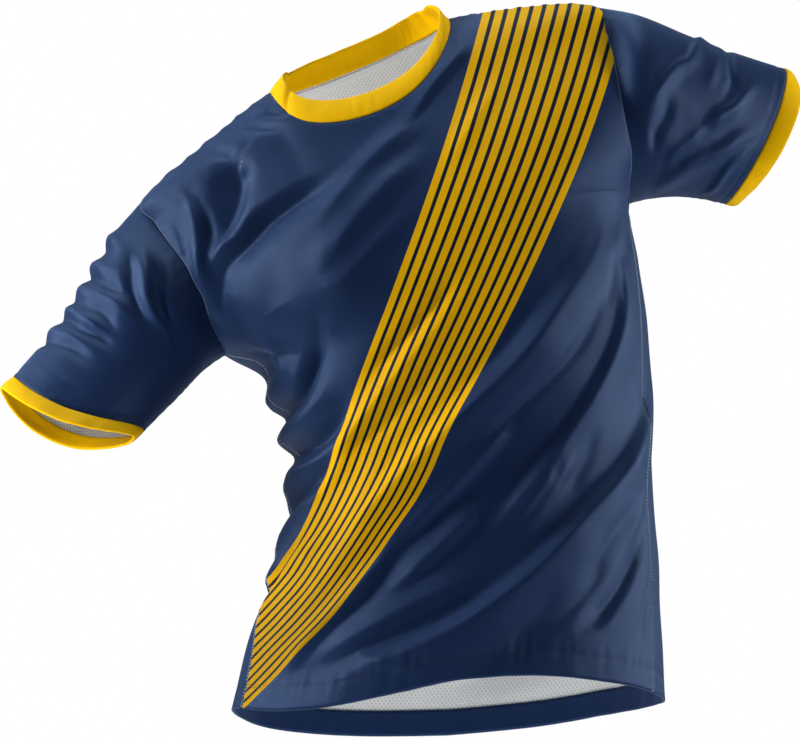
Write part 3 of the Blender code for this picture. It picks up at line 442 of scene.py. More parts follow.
FIBRE_SCALE = 900.0
FIBRE_DEPTH = 0.0001
CLOTH_BUMP = 0.5
PRINT_SOFTNESS = 0.02
SASH_EDGE_SOFTNESS = 0.001

# The picture: where the camera looks, and the studio's lights as name, place, size, power and colour
LOOK_AT = (0.042, 0.0, -0.3235)
CAMERA_ELEVATION = -12.0
CAMERA_DISTANCE = 6.0
FILM_WIDTH = 36.0
VIEW_WIDTH = 0.8
FARTHEST = 100.0
WHITE = (1.0, 1.0, 1.0)
WORLD_LIGHT = 0.13
BACKDROP = 1.0
LIGHTS = (
    ("right_softbox", (2.96, -0.30, 0.35), (0.7, 1.1), 50.0, WHITE),
    ("left_softbox", (-2.75, -0.60, 0.75), (0.7, 0.9), 96.0, WHITE),
    ("low_left_softbox", (-2.20, -1.55, -1.55), (1.3, 1.3), 10.0, WHITE),
    ("back_left_softbox", (-1.95, 0.70, 1.80), (1.3, 1.3), 14.0, (0.62, 0.80, 1.0)),
    ("back_right_softbox", (2.80, 1.00, 0.0), (1.3, 1.3), 18.0, (0.62, 0.80, 1.0)),
    ("top_softbox", (0.04, 0.0, 2.68), (1.3, 1.3), 34.0, (0.70, 0.85, 1.0)),
)
# Narrow lamps that light the insides that show: name, place, aim, power and cone in degrees
SPOTS = (
    ("neck_spot", (0.005, -0.030, -0.180), (-0.003, 0.050, -0.005), 0.55, 90.0),
    ("cuff_spot", (-1.13, -1.03, -1.35), (-0.300, -0.090, -0.395), 70.0, 8.0),
    ("hem_spot", (0.10, -0.30, -1.50), (0.090, 0.100, -0.620), 14.0, 34.0),
)
SPOT_SIZE = 0.03
SPOT_BLEND = 0.6
FLOOR_HEIGHT = -1.64
FLOOR_SIZE = 6.0
FLOOR = {"color": (0.86, 0.86, 0.87), "uneven": (0.02, 3.0)}
FLOOR_ROUGHNESS = 0.8


def read_table(columns, rows):
    """The rows as one array for each named column."""
    return {name: np.array([row[i] for row in rows], float) for i, name in enumerate(columns)}


def smooth(keys, values, at):
    """A smooth curve through values at keys (rising), read at any place."""
    slopes = np.gradient(values, keys)
    i = np.clip(np.searchsorted(keys, at, side="right") - 1, 0, len(keys) - 2)
    width = keys[i + 1] - keys[i]
    t = np.clip((at - keys[i]) / width, 0.0, 1.0)
    beyond = at - np.clip(at, keys[0], keys[-1])
    start, end = values[i], values[i + 1]
    curve = (
        (2 * t**3 - 3 * t**2 + 1) * start
        + (t**3 - 2 * t**2 + t) * width * slopes[i]
        + (-2 * t**3 + 3 * t**2) * end
        + (t**3 - t**2) * width * slopes[i + 1]
    )
    edge_slope = np.where(beyond < 0, slopes[0], slopes[-1])
    return curve + beyond * edge_slope


RINGS = read_table(RING_COLUMNS, BODY_RINGS)
HEM = read_table(HEM_COLUMNS, HEM_LINE)
SEAMS = read_table(SEAM_COLUMNS, SIDE_SEAMS)
SASH = read_table(SASH_COLUMNS, SASH_EDGES)


def ring_value(name, down):
    return smooth(RINGS["down"], RINGS[name], down)


def unit(vectors):
    return vectors / np.maximum(np.linalg.norm(vectors, axis=-1, keepdims=True), 1e-12)


def ease(t):
    """0 to 1 with a soft start and end."""
    t = np.clip(t, 0.0, 1.0)
    return t * t * (3 - 2 * t)


def body_form(angle, down):
    """The body tube without folds. Angle 0 is centre front, 90 the left side, 180 centre back."""
    a = np.radians(angle)
    swell = 1.0 + ring_value("square", down) * np.sin(2 * a) ** 2
    across = ring_value("half_width", down) * np.sin(a) * swell
    depth = np.where(np.cos(a) > 0, ring_value("front_depth", down), ring_value("back_depth", down))
    forward = depth * np.cos(a) * swell
    roll, pitch = np.radians(ring_value("roll", down)), np.radians(ring_value("pitch", down))
    zero = np.zeros_like(roll)
    side = np.stack([np.cos(roll), zero, np.sin(roll)], -1)
    up = np.stack([-np.sin(roll), zero, np.cos(roll)], -1)
    back = np.stack([zero, np.cos(pitch), zero], -1) + up * np.sin(pitch)[..., None]
    centre = np.stack([ring_value(axis, down) for axis in "xyz"], -1)
    return centre + side * across[..., None] - back * forward[..., None]


def form_normals(angle, down):
    """Unit normals of the plain body tube."""
    turn, step = NORMAL_STEP_DEG, NORMAL_STEP_DOWN
    round_it = body_form(angle + turn, down) - body_form(angle - turn, down)
    along = body_form(angle, down + step) - body_form(angle, down - step)
    return unit(np.cross(along, round_it))


def fold_profile(x):
    """A fold's section: a crest that is only just rounded, an even slope, and a softer foot."""
    x = (np.sqrt(x * x + FOLD_CREST**2) - FOLD_CREST) / FOLD_SLOPE
    return (1 - x + np.sqrt((1 - x) ** 2 + FOLD_FOOT**2)) / (1 + math.sqrt(1 + FOLD_FOOT**2))


def fold_lift(folds, first, second, first_size, second_size, period=360.0):
    """How far the folds lift each point off the plain form. The sizes turn both coordinates into metres."""
    first, second = np.broadcast_arrays(first, second)
    lift = np.zeros(first.shape)
    size = np.array([first_size, second_size])
    for row in folds:
        fold = dict(zip(FOLD_COLUMNS, row))
        height, width, lean = fold["height"], fold["width"], fold["lean"]
        stops = np.array(fold["path"], float)
        knots = np.arange(len(stops), dtype=float)
        at = np.linspace(0.0, knots[-1], CURVE_STEPS * (len(stops) - 1) + 1)
        curve = np.stack([smooth(knots, stops[:, k], at) for k in (0, 1)], -1)
        middle = (curve[:, 0].min() + curve[:, 0].max()) / 2
        near = (first - middle + period / 2) % period - period / 2 + middle
        points = np.stack([near, second], -1) * size
        curve = curve * size
        reach = FOLD_REACH * width * (1 + abs(lean))
        inside = np.all((points > curve.min(0) - reach) & (points < curve.max(0) + reach), axis=-1)
        if not inside.any():
            continue
        start, leg = curve[:-1], np.diff(curve, axis=0)
        offset = points[inside][:, None, :] - start[None]
        share = np.clip((offset * leg).sum(-1) / (leg**2).sum(-1), 0.0, 1.0)
        distance = np.linalg.norm(offset - share[..., None] * leg, axis=-1)
        turn = leg[:, 0] * offset[..., 1] - leg[:, 1] * offset[..., 0]
        flank = width * (1 + lean * np.sign(turn))
        place = (np.arange(len(leg)) + share) / len(leg)
        fade = ease(place / FOLD_FADE) * ease((1 - place) / FOLD_FADE)
        lift[inside] += height * (fade * fold_profile(distance / flank)).max(-1)
    return lift


def waver(t, pitch):
    """An uneven wave between about -1 and 1, for puckers along a seam."""
    turn = 2 * math.pi / pitch * t
    drift = sum(reach * np.sin(turn / length + shift) for reach, length, shift in PUCKER_DRIFTS)
    reach, length, shift = PUCKER_SWING
    swing = 1 - reach + reach * np.sin(turn / length + shift)
    return swing * np.sin(turn + drift)


def ripple(u, v):
    """Soft unevenness of cloth that nothing holds: a few long waves that cross."""
    waves = (
        share * np.sin(across * u + down * v + bend * np.sin(bend_across * u + bend_down * v + shift))
        for share, across, down, bend, bend_across, bend_down, shift in RIPPLES
    )
    return RIPPLE_HEIGHT * sum(waves)


def shoulder_pleats():
    """Folds that cross the shoulder seams, from the table of pleats."""
    rows = []
    for side, down, height, width, front, back in SHOULDER_PLEATS:
        path = ((side * (90 - front), down), (side * 90, down), (side * (90 + back), down))
        rows.append((height, width, 0.0, path))
    return rows


def body_lift(angle, down):
    """How far all the folds lift the body's cloth."""
    round_it = QUARTER_GIRTH / 90.0
    lift = fold_lift(BODY_FOLDS + FINE_BODY_FOLDS, angle, down, round_it, 1.0)
    lift += fold_lift(shoulder_pleats(), angle, down, SHOULDER_DEPTH_PER_DEG, SHOULDER_RUN)
    return lift + ripple(angle * round_it, down)


def body_cloth(angle, down, groove=0.0):
    """The body tube with its folds; groove is how far each point sinks along the plain normal."""
    lift = body_lift(angle, down) - groove
    return body_form(angle, down) + form_normals(angle, down) * lift[..., None]


def ring_arc(own, down, faces_back=False):
    """The way round the cloth from a panel's middle to each of its own angles, in metres."""
    t = (np.arange(ARC_STEPS) + 0.5) / ARC_STEPS
    a = np.radians(own)[..., None] * t
    near, far = ("back_depth", "front_depth") if faces_back else ("front_depth", "back_depth")
    width, near, far = (ring_value(name, down)[..., None] for name in ("half_width", near, far))
    depth = np.where(np.cos(a) > 0, near, far)
    return np.radians(own) * np.sqrt((width * np.cos(a)) ** 2 + (depth * np.sin(a)) ** 2).mean(-1)


def angle_at(arc, down, faces_back):
    """The panel's own angle at each way round from its middle."""
    own = arc / ring_arc(np.full_like(down, 90.0), down, faces_back) * 90.0
    for _ in range(ARC_ROUNDS):
        ahead, behind = own + NORMAL_STEP_DEG, own - NORMAL_STEP_DEG
        speed = ring_arc(ahead, down, faces_back) - ring_arc(behind, down, faces_back)
        own = own - (ring_arc(own, down, faces_back) - arc) / speed
    return own


def armhole_angle(down):
    """How far round from centre front an armhole's front edge lies."""
    t = np.clip((down - SHOULDER_DROP) / (UNDERARM_DOWN - SHOULDER_DROP), 0.0, 1.0)
    return 90.0 - ARMHOLE_BITE_DEG * np.sin(math.pi * t**ARMHOLE_SKEW) ** ARMHOLE_ROUNDNESS


def even_steps(angle, down, steps):
    """The path (angle, down) resampled at equal lengths of cloth."""
    points = body_form(angle, down)
    length = np.concatenate([[0.0], np.cumsum(np.linalg.norm(np.diff(points, axis=0), axis=1))])
    at = np.linspace(0.0, length[-1], steps + 1)
    return np.interp(at, length, angle), np.interp(at, length, down)


def fine(start, end):
    """Parameters that crowd towards both ends, where the cloth's curves are tight."""
    t = (1 - np.cos(np.linspace(0.0, math.pi, PATH_SAMPLES))) / 2
    return start + (end - start) * t


def armhole_edge():
    """One armhole's front edge from the underarm up to the shoulder point."""
    down = fine(UNDERARM_DOWN, SHOULDER_DROP)
    return even_steps(armhole_angle(down), down, ARMHOLE_STEPS)


def side_edge(side, faces_back):
    """One panel's edge from the hem up: side seam, then armhole, in the panel's own angles."""
    turn_up = np.linspace(HEM_DOWN, HEM_DOWN - HEM_TURN_UP, HEM_TURN_UP_ROWS + 1)
    seam_down = np.linspace(turn_up[-1], UNDERARM_DOWN, SIDE_STEPS - HEM_TURN_UP_ROWS + 1)
    down = np.concatenate([turn_up, seam_down[1:]])
    angle = smooth(SEAMS["down"], SEAMS[side], down)
    angle[-1] = 90.0
    own = 180.0 - angle if faces_back else angle
    hole_angle, hole_down = armhole_edge()
    return np.concatenate([own, hole_angle[1:]]), np.concatenate([down, hole_down[1:]])


def neckline(drop, faces_back):
    """The neckline from the left shoulder seam to the right one, as (angle, down)."""
    t = fine(0.0, math.pi)
    down = drop * np.sin(t)
    across = NECK_HALF_WIDTH * np.cos(t)
    half = ring_value("half_width", down)
    angle = np.degrees(np.arcsin(np.clip(across / half, -1.0, 1.0)))
    if faces_back:
        angle = 180.0 - angle
    return even_steps(angle, down, NECK_STEPS)


def top_edge(drop, faces_back):
    """One panel's top edge, from the right shoulder point to the left one, in the panel's own angles."""
    seam_down = fine(SHOULDER_DROP, 0.0)
    _, down = even_steps(np.full_like(seam_down, 90.0), seam_down, SHOULDER_STEPS)
    angle, neck_down = neckline(drop, faces_back)
    own = 180.0 - angle if faces_back else angle
    left_down = down[::-1]
    return (
        np.concatenate([np.full(SHOULDER_STEPS, -90.0), own[::-1], np.full(SHOULDER_STEPS, 90.0)]),
        np.concatenate([down[:-1], neck_down[::-1], left_down[1:]]),
    )


def panel_grid(drop, faces_back):
    """Body angles and downs of one panel's grid, rows from the hem up, columns from right to left.

    The grid is laid out on the flat cut, as metres round from the panel's middle, and then bent round.
    """
    right_angle, side_down = side_edge("right", faces_back)
    left_angle, _ = side_edge("left", faces_back)
    top_angle, top_down = top_edge(drop, faces_back)
    right, left, top = (
        ring_arc(own, at, faces_back)
        for own, at in ((-right_angle, side_down), (left_angle, side_down), (top_angle, top_down))
    )
    rows, columns = len(side_down), len(top)
    s = np.linspace(0.0, 1.0, columns)[None, :]
    t = np.linspace(0.0, 1.0, rows)[:, None] ** ROW_BEND

    def fill(start, end, bottom, top):
        """A grid that bends smoothly from each edge to the one facing it."""
        low = bottom[None, :] - (1 - s) * start[0] - s * end[0]
        high = top[None, :] - (1 - s) * start[-1] - s * end[-1]
        return (1 - s) * start[:, None] + s * end[:, None] + (1 - t) * low + t * high

    arc = fill(right, left, np.linspace(right[0], left[0], columns), top)
    down = fill(side_down, side_down, np.full(columns, HEM_DOWN), top_down)
    own = angle_at(arc, down, faces_back)
    angle = 180.0 - own if faces_back else own
    wrapped = (angle + 180.0) % 360.0 - 180.0
    drape = smooth(HEM["angle"], HEM["extra"], wrapped)
    near_hem = np.clip((down - UNDERARM_DOWN) / (HEM_DOWN - UNDERARM_DOWN), 0.0, 1.0)
    return angle, down + drape * near_hem**HEM_DRAPE_POWER


def armhole_ring():
    """An armhole's points as (angle, down): from the shoulder down the front, then up the back."""
    hole_angle, hole_down = armhole_edge()
    front_angle, front_down = hole_angle[::-1], hole_down[::-1]
    back_angle, back_down = 180.0 - hole_angle[1:-1], hole_down[1:-1]
    return np.concatenate([front_angle, back_angle]), np.concatenate([front_down, back_down])


def neck_ring():
    """The neckline's points as (angle, down): from the left shoulder by the front to the right, and back."""
    front_angle, front_down = neckline(FRONT_NECK_DROP, False)
    back_angle, back_down = neckline(BACK_NECK_DROP, True)
    return (
        np.concatenate([front_angle, back_angle[-2:0:-1]]),
        np.concatenate([front_down, back_down[-2:0:-1]]),
    )


def ring_normals(points):
    """Unit normals of a grid whose columns close into rings."""
    across = np.roll(points, -1, axis=1) - np.roll(points, 1, axis=1)
    return unit(np.cross(across, np.gradient(points, axis=0)))


def panel_normals(points, faces_back):
    """Unit outward normals of the front's or the back's grid."""
    normals = unit(np.cross(np.gradient(points, axis=1), np.gradient(points, axis=0)))
    return -normals if faces_back else normals


def sleeve_form(side, table, along):
    """Points of one sleeve: rows from armhole to cuff, columns from the top by the front."""
    rings = read_table(SLEEVE_COLUMNS, table)
    angle, down = armhole_ring()
    turn = np.linspace(0.0, 2 * math.pi, len(angle), endpoint=False)
    sections = [body_cloth(side * angle, down, GROOVE_DEPTH)]
    last_centre = sections[0].mean(axis=0)
    for k in range(1, len(table)):
        top, under, front = (
            np.array([rings[f"{place}_{axis}"][k] for axis in "xyz"]) for place in ("top", "under", "front")
        )
        centre = (top + under) / 2
        run = unit(centre - last_centre)
        sections.append(
            centre
            + np.outer(np.cos(turn), (top - under) / 2)
            + np.outer(np.sin(turn), front)
            + np.outer(np.sin(turn) ** 2, run * rings["sag"][k])
        )
        last_centre = centre
    flat = np.array(sections).reshape(len(sections), -1)
    grid = np.stack([smooth(rings["along"], flat[:, k], along) for k in range(flat.shape[1])], -1)
    return grid.reshape(len(along), len(angle), 3)


def path_length(points, axis):
    """How far along the grid's rows or columns each point lies, in metres."""
    step = np.linalg.norm(np.diff(points, axis=axis), axis=-1)
    start = np.zeros_like(np.take(step, [0], axis=axis))
    return np.concatenate([start, np.cumsum(step, axis=axis)], axis=axis)


def groove(distance):
    return GROOVE_DEPTH * np.exp(-((distance / GROOVE_WIDTH) ** 2))


def pucker(distance, along, pitch=PUCKER_PITCH):
    """Cloth gathered a little by a seam: waves that start at it and die away."""
    rise = distance / (PUCKER_REACH / 3)
    return PUCKER_HEIGHT * rise * np.exp(1 - rise) * waver(along, pitch)


def sleeve_cloth(side, table, folds):
    """One sleeve with its folds, and its normals and flat coordinates."""
    along = np.linspace(0.0, 1.0, SLEEVE_STEPS + 1)
    grid = sleeve_form(side, table, along)
    turn = np.linspace(0.0, 360.0, grid.shape[1], endpoint=False)
    down, round_it = path_length(grid, 0), path_length(grid, 1)
    lift = fold_lift(folds, turn[None, :], along[:, None], SLEEVE_GIRTH / 360.0, SLEEVE_LENGTH)
    fade_in = ease(along / SLEEVE_PLAIN)[:, None]
    lift = (lift + ripple(round_it, down + side)) * fade_in
    from_cuff = down[-1:] - down
    lift += pucker(down, round_it) + pucker(from_cuff, round_it, CUFF_PUCKER_PITCH) - groove(from_cuff)
    lift -= CUFF_CHANNEL_DEPTH * np.exp(-(((from_cuff - CUFF_CHANNEL_AT) / CUFF_CHANNEL_WIDTH) ** 2))
    under = np.abs(turn[None, :] - 180.0) * SLEEVE_GIRTH / 360.0 + 0 * down
    lift += (pucker(under, down) - groove(under)) * fade_in
    grid = grid + ring_normals(grid) * side * lift[..., None]
    u = np.linspace(0.0, SLEEVE_GIRTH, grid.shape[1] + 1) + 0 * down[:, :1]
    v = np.concatenate([down, down[:, :1]], axis=1)
    return grid, ring_normals(grid) * side, np.stack([u, v], -1)


def run_directions(table, turn):
    """Unit directions in which a band runs on, blended round its ring between the table's four."""
    runs = read_table(RUN_COLUMNS, table)
    share = np.maximum(np.cos(np.subtract.outer(turn, np.radians(runs["turn"]))), 0.0) ** 2
    return unit(share @ np.stack([runs[axis] for axis in "xyz"], -1))


def band_map(grid, height, place):
    """A band's flat coordinates: metres round it and across it."""
    ring = np.concatenate([grid[0], grid[0, :1]])[None]
    round_it = path_length(ring, 1)
    return np.stack(np.broadcast_arrays(round_it, place[:, None] * height), -1)


def collar_cloth():
    """The neckband: rows from the neck seam to its top edge."""
    angle, down = neck_ring()
    seam = body_cloth(angle, down, GROOVE_DEPTH)
    turn = np.radians(angle)
    rise = run_directions(COLLAR_RUN, turn)
    outward = np.stack([np.sin(turn), -np.cos(turn), np.zeros_like(turn)], -1)
    place = np.linspace(0.0, 1.0, COLLAR_STEPS + 1)
    crown = COLLAR_BULGE * np.sin(math.pi * place)
    along = np.arange(len(angle)) * COLLAR_STEP
    grid = (
        seam[None]
        + rise[None] * (COLLAR_HEIGHT * place)[:, None, None]
        + outward[None] * crown[:, None, None]
    )
    rising = (np.sin(math.pi * place * 0.5) * place)[:, None]
    wave = COLLAR_WAVE * waver(along, COLLAR_WAVE_PITCH)[None, :] * rising
    puckers = PUCKER_HEIGHT * waver(along, COLLAR_PUCKER_PITCH)[None, :] * np.sin(math.pi * place)[:, None]
    dent = fold_lift(COLLAR_DENTS, angle[None, :], place[:, None], COLLAR_RUN_PER_DEG, COLLAR_HEIGHT)
    grid = grid + outward[None] * (wave + puckers + dent)[..., None]
    return grid, -ring_normals(grid), band_map(grid, COLLAR_HEIGHT, place)


def cuff_cloth(sleeve, side, run_table):
    """The cuff, on from the sleeve's last ring."""
    turn = np.linspace(0.0, 2 * math.pi, sleeve.shape[1], endpoint=False)
    run = run_directions(run_table, turn)
    place = np.linspace(0.0, 1.0, CUFF_STEPS + 1)
    grid = sleeve[-1][None] + run[None] * (CUFF_HEIGHT * place)[:, None, None]
    normals = ring_normals(grid) * side
    along = turn * SLEEVE_GIRTH / (2 * math.pi)
    swell = CUFF_SWELL * np.sin(math.pi * place)[:, None]
    rising = np.sin(math.pi * place * CUFF_WAVE_TURN)[:, None]
    wave = CUFF_WAVE * waver(along, CUFF_WAVE_PITCH)[None, :] * rising
    grid = grid + normals * (swell + wave)[..., None]
    return grid, ring_normals(grid) * side, band_map(grid, CUFF_HEIGHT, place)


def panel_cloth(drop, faces_back):
    """The front's or the back's points, normals, and flat and sash coordinates."""
    angle, down = panel_grid(drop, faces_back)
    plain = form_normals(angle, down)
    points = body_form(angle, down) + plain * body_lift(angle, down)[..., None]
    round_it, up_it = path_length(points, 1), path_length(points, 0)
    from_side = np.minimum(round_it, round_it[:, -1:] - round_it)
    from_top, from_hem = up_it[-1:] - up_it, up_it
    sink = np.maximum(groove(from_side), groove(from_top))
    for place, width in HEM_CHANNELS:
        sink = sink + CHANNEL_DEPTH * np.exp(-(((from_hem - place) / width) ** 2))
    lift = pucker(from_side, up_it) + pucker(from_top, round_it)
    beside_hem = np.abs(from_hem - HEM_TURN_UP)
    lift += PUCKER_HEIGHT * np.exp(-((beside_hem / PUCKER_REACH) ** 2)) * waver(round_it, PUCKER_PITCH)
    edge_wave = HEM_WAVE * waver(round_it, HEM_WAVE_PITCH) * np.exp(-from_hem / HEM_TURN_UP)
    points = points + plain * (lift + edge_wave - sink)[..., None]
    middle = points.shape[1] // 2
    flat = np.stack([round_it - round_it[:, middle:middle + 1], up_it], -1)
    form = body_form(angle, down) * (1 - SASH_FOLLOWS) + points * SASH_FOLLOWS
    tilt = math.radians(SASH_TILT_DEG)
    height = form[..., 2] * math.cos(tilt) - form[..., 1] * math.sin(tilt)
    low, high = (smooth(SASH["height"], SASH[name], height) for name in ("lower", "upper"))
    sash = np.stack([(form[..., 0] - low) / (high - low), down], -1)
    return points, panel_normals(points, faces_back), flat, sash


def new_piece(name, vertices, faces, kinds):
    """A smooth mesh in the scene, with its materials."""
    mesh = bpy.data.meshes.new(name)
    mesh.from_pydata(vertices, [], faces)
    mesh.shade_smooth()
    for kind in kinds:
        mesh.materials.append(kind)
    piece = bpy.data.objects.new(name, mesh)
    bpy.context.collection.objects.link(piece)
    return piece


def shell(name, points, half, kinds, maps, closed=False, rounded=False):
    """A grid of points as thin cloth with two faces; half is each point's vector to the outer face."""
    rows, columns = points.shape[:2]
    sheets, along = [points + half], list(range(rows))
    if rounded:
        run = unit(points[-1] - points[-2]) * np.linalg.norm(half[-1], axis=-1, keepdims=True)
        for k in range(1, EDGE_ROUND_STEPS):
            bend = math.pi * k / EDGE_ROUND_STEPS
            sheets.append((points[-1] + half[-1] * math.cos(bend) + run * math.sin(bend))[None])
            along.append(rows - 1)
    outer_rows = len(along)
    sheets.append((points - half)[::-1])
    along += list(range(rows - 1, -1, -1))
    loop = np.concatenate(sheets)
    along = np.array(along)
    total = len(loop)
    spans = columns if closed else columns - 1
    j, i = (n.ravel() for n in np.meshgrid(np.arange(total), np.arange(spans), indexing="ij"))
    nj, ni = (j + 1) % total, (i + 1) % columns
    faces = np.stack([j * columns + i, j * columns + ni, nj * columns + ni, nj * columns + i], -1)
    corner_row = np.stack([j, j, nj, nj], -1)
    corner_column = np.stack([i, i + 1, i + 1, i], -1)
    lining = (j >= outer_rows) & (j < total - 1)
    if not closed:
        r = np.arange(rows - 1)
        inner = total - 1 - r
        left = np.stack([r, r + 1, inner - 1, inner], -1)
        faces = np.concatenate([faces, left * columns, left[:, ::-1] * columns + columns - 1])
        corner_row = np.concatenate([corner_row, left, left[:, ::-1]])
        edge_column = np.zeros_like(left)
        corner_column = np.concatenate([corner_column, edge_column, edge_column + columns - 1])
        lining = np.concatenate([lining, np.zeros(2 * len(r), bool)])
    vertices = loop.reshape(-1, 3)
    a, b, c, d = (vertices[faces[:, k]] for k in range(4))
    outward = np.cross(b - a, c - a) + np.cross(c - a, d - a)
    if (outward * (a - vertices[0])).sum() < 0:
        faces, corner_row, corner_column = faces[:, ::-1], corner_row[:, ::-1], corner_column[:, ::-1]
    piece = new_piece(name, vertices.tolist(), faces.tolist(), kinds)
    piece.data.polygons.foreach_set("material_index", lining.astype(np.int32))
    for map_name, flat in maps.items():
        layer = piece.data.uv_layers.new(name=map_name)
        layer.data.foreach_set("uv", flat[along[corner_row], corner_column].astype(np.float32).ravel())
    piece.data.update()
    return piece


def stitched(points, normals):
    """Middles, directions and normals of the stitches along a line on the cloth."""
    length = path_length(points[None], 1)[0]
    at = np.arange(STITCH_PITCH / 2, length[-1], STITCH_PITCH)
    middle, ahead, out = (
        np.stack([np.interp(where, length, source[:, k]) for k in range(3)], -1)
        for where, source in ((at, points), (at + STITCH_PITCH / 4, points), (at, normals))
    )
    return middle, unit(ahead - middle), unit(out)


def thread(name, rows, kind):
    """All the stitches of some rows as one mesh; rows hold (middle, direction, normal).

    Each stitch has ten corners: a tip (0), two rings of four (from 1 and from 5), and the other tip (9).
    """
    middle, run, out = (np.concatenate([row[k] for row in rows]) for k in range(3))
    side = unit(np.cross(run, out)) * THREAD_WIDTH / 2
    raised, run = out * THREAD_HEIGHT, run * STITCH_LENGTH / 2
    corners = [middle - run]
    for end in (-THREAD_TAPER, THREAD_TAPER):
        corners += [middle + run * end + offset for offset in (side, raised, -side, -raised)]
    corners.append(middle + run)
    vertices = np.stack(corners, 1)
    tips = [(0, 1 + (k + 1) % 4, 1 + k) for k in range(4)] + [(9, 5 + k, 5 + (k + 1) % 4) for k in range(4)]
    sides = [(1 + k, 1 + (k + 1) % 4, 5 + (k + 1) % 4, 5 + k) for k in range(4)]
    faces = []
    for n in range(len(vertices)):
        faces += [tuple(10 * n + corner for corner in face) for face in tips + sides]
    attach(new_piece(name, vertices.reshape(-1, 3).tolist(), faces, [kind]), "root")


class Nodes:
    """A material's or the world's nodes, made with short calls."""

    def __init__(self, owner):
        owner.use_nodes = True
        self.tree = owner.node_tree
        self.tree.nodes.clear()

    def make(self, kind, settings=None, **inputs):
        node = self.tree.nodes.new(kind)
        for name, value in (settings or {}).items():
            setattr(node, name, value)
        for name, value in inputs.items():
            self.put(node.inputs[name.replace("_", " ")], value)
        return node

    def put(self, socket, value):
        if isinstance(value, bpy.types.NodeSocket):
            self.tree.links.new(value, socket)
        else:
            socket.default_value = value

    def fed(self, node, sockets, values, result=0):
        """The node's result, once its sockets have their values."""
        for socket, value in zip(sockets, values):
            self.put(socket, value)
        return node.outputs[result]

    def math(self, operation, *values):
        node = self.make("ShaderNodeMath", {"operation": operation})
        return self.fed(node, node.inputs, values)

    def ramp(self, value, low, high, start=0.0, end=1.0):
        names = ("Value", "From Min", "From Max", "To Min", "To Max")
        node = self.make("ShaderNodeMapRange")
        return self.fed(node, [node.inputs[name] for name in names], (value, low, high, start, end))

    def mix_color(self, share, first, second):
        node = self.make("ShaderNodeMix", {"data_type": "RGBA"})
        colors = ((*first, 1.0), (*second, 1.0))
        return self.fed(node, [node.inputs[k] for k in (0, 6, 7)], (share, *colors), result=2)

    def mix_shader(self, share, first, second):
        node = self.make("ShaderNodeMixShader")
        return self.fed(node, node.inputs, (share, first, second))

    def flat(self, name):
        """The two coordinates of a named UV map."""
        uv = self.make("ShaderNodeUVMap", {"uv_map": name}).outputs[0]
        return self.make("ShaderNodeSeparateXYZ", Vector=uv).outputs[:2]

    def noise(self, scale):
        place = self.make("ShaderNodeTexCoord").outputs["Object"]
        return self.make("ShaderNodeTexNoise", Vector=place, Scale=scale, Detail=2.0).outputs[0]

    def wave(self, value, pitch):
        """A sine of a length in metres, from -1 to 1."""
        return self.math("SINE", self.math("MULTIPLY", value, 2 * math.pi / pitch))

    def bump(self, height, distance, strength=CLOTH_BUMP):
        return self.make("ShaderNodeBump", Height=height, Distance=distance, Strength=strength).outputs[0]

    def output(self, surface, kind="ShaderNodeOutputMaterial"):
        self.make(kind, Surface=surface)


def tinted(n, look):
    """The look's colour with a soft unevenness."""
    amount, scale = look["uneven"]
    dark, light = (
        tuple(min(part * share, 1.0) for part in look["color"]) for share in (1 - amount, 1 + amount)
    )
    return n.mix_color(n.noise(scale), dark, light)


def cloth_shader(n, look, bump, color=None):
    """A cloth's surface in its own uneven colour, or in the one given."""
    return n.make(
        "ShaderNodeBsdfPrincipled",
        Base_Color=tinted(n, look) if color is None else color, Roughness=look["roughness"],
        Specular_IOR_Level=look["specular"], Specular_Tint=(*look["specular_tint"], 1.0),
        Sheen_Weight=look["sheen"], Sheen_Roughness=look["sheen_roughness"],
        Sheen_Tint=(*look["sheen_tint"], 1.0), Normal=bump,
    ).outputs[0]


def new_material(name, surface):
    """A material whose surface the given function makes from its nodes."""
    kind = bpy.data.materials.new(name)
    n = Nodes(kind)
    n.output(surface(n))
    return kind


def knit(n):
    """A fine knit: columns of loops that lean left and right."""
    wale, course = KNIT_PITCH
    u, v = n.flat("cloth")
    lean = n.math("MULTIPLY", n.wave(v, course), wale * KNIT_LEAN)
    height = n.math("MULTIPLY", n.wave(n.math("ADD", u, lean), wale), n.wave(v, course))
    return n.bump(height, KNIT_DEPTH)


def sash_surface(n):
    """The navy knit with the sash printed on: gold stripes with painted shade that darkens them towards the
    hip, and dark lines.
    """
    bump = knit(n)
    across, down = n.flat("sash")
    amount, scale = SASH_GOLD["uneven"]
    # Painted shade down the front, plus a random unevenness in the gold's tone
    painted_shade_and_tone = n.math("ADD", n.ramp(down, *SASH_PAINTED_SHADE), n.ramp(n.noise(scale), 0.0, 1.0, -amount, amount))
    gold = cloth_shader(n, SASH_GOLD, bump, n.mix_color(painted_shade_and_tone, SASH_GOLD["color"], SHADED_GOLD))
    period = n.math("MULTIPLY", across, STRIPES - 1 + GOLD_SHARE)
    phase = n.math("FRACT", n.math("ADD", period, (1 - GOLD_SHARE) / 2))
    from_middle = n.math("ABSOLUTE", n.math("SUBTRACT", phase, 0.5))
    half, soft = GOLD_SHARE / 2, PRINT_SOFTNESS
    stripe = n.ramp(from_middle, half - soft, half + soft, 1.0, 0.0)
    edge = SASH_EDGE_SOFTNESS
    inside = n.math("MULTIPLY", n.ramp(across, -edge, edge), n.ramp(across, 1 - edge, 1 + edge, 1.0, 0.0))
    sash = n.mix_shader(stripe, cloth_shader(n, SASH_LINE, bump), gold)
    return n.mix_shader(inside, cloth_shader(n, NAVY, bump), sash)


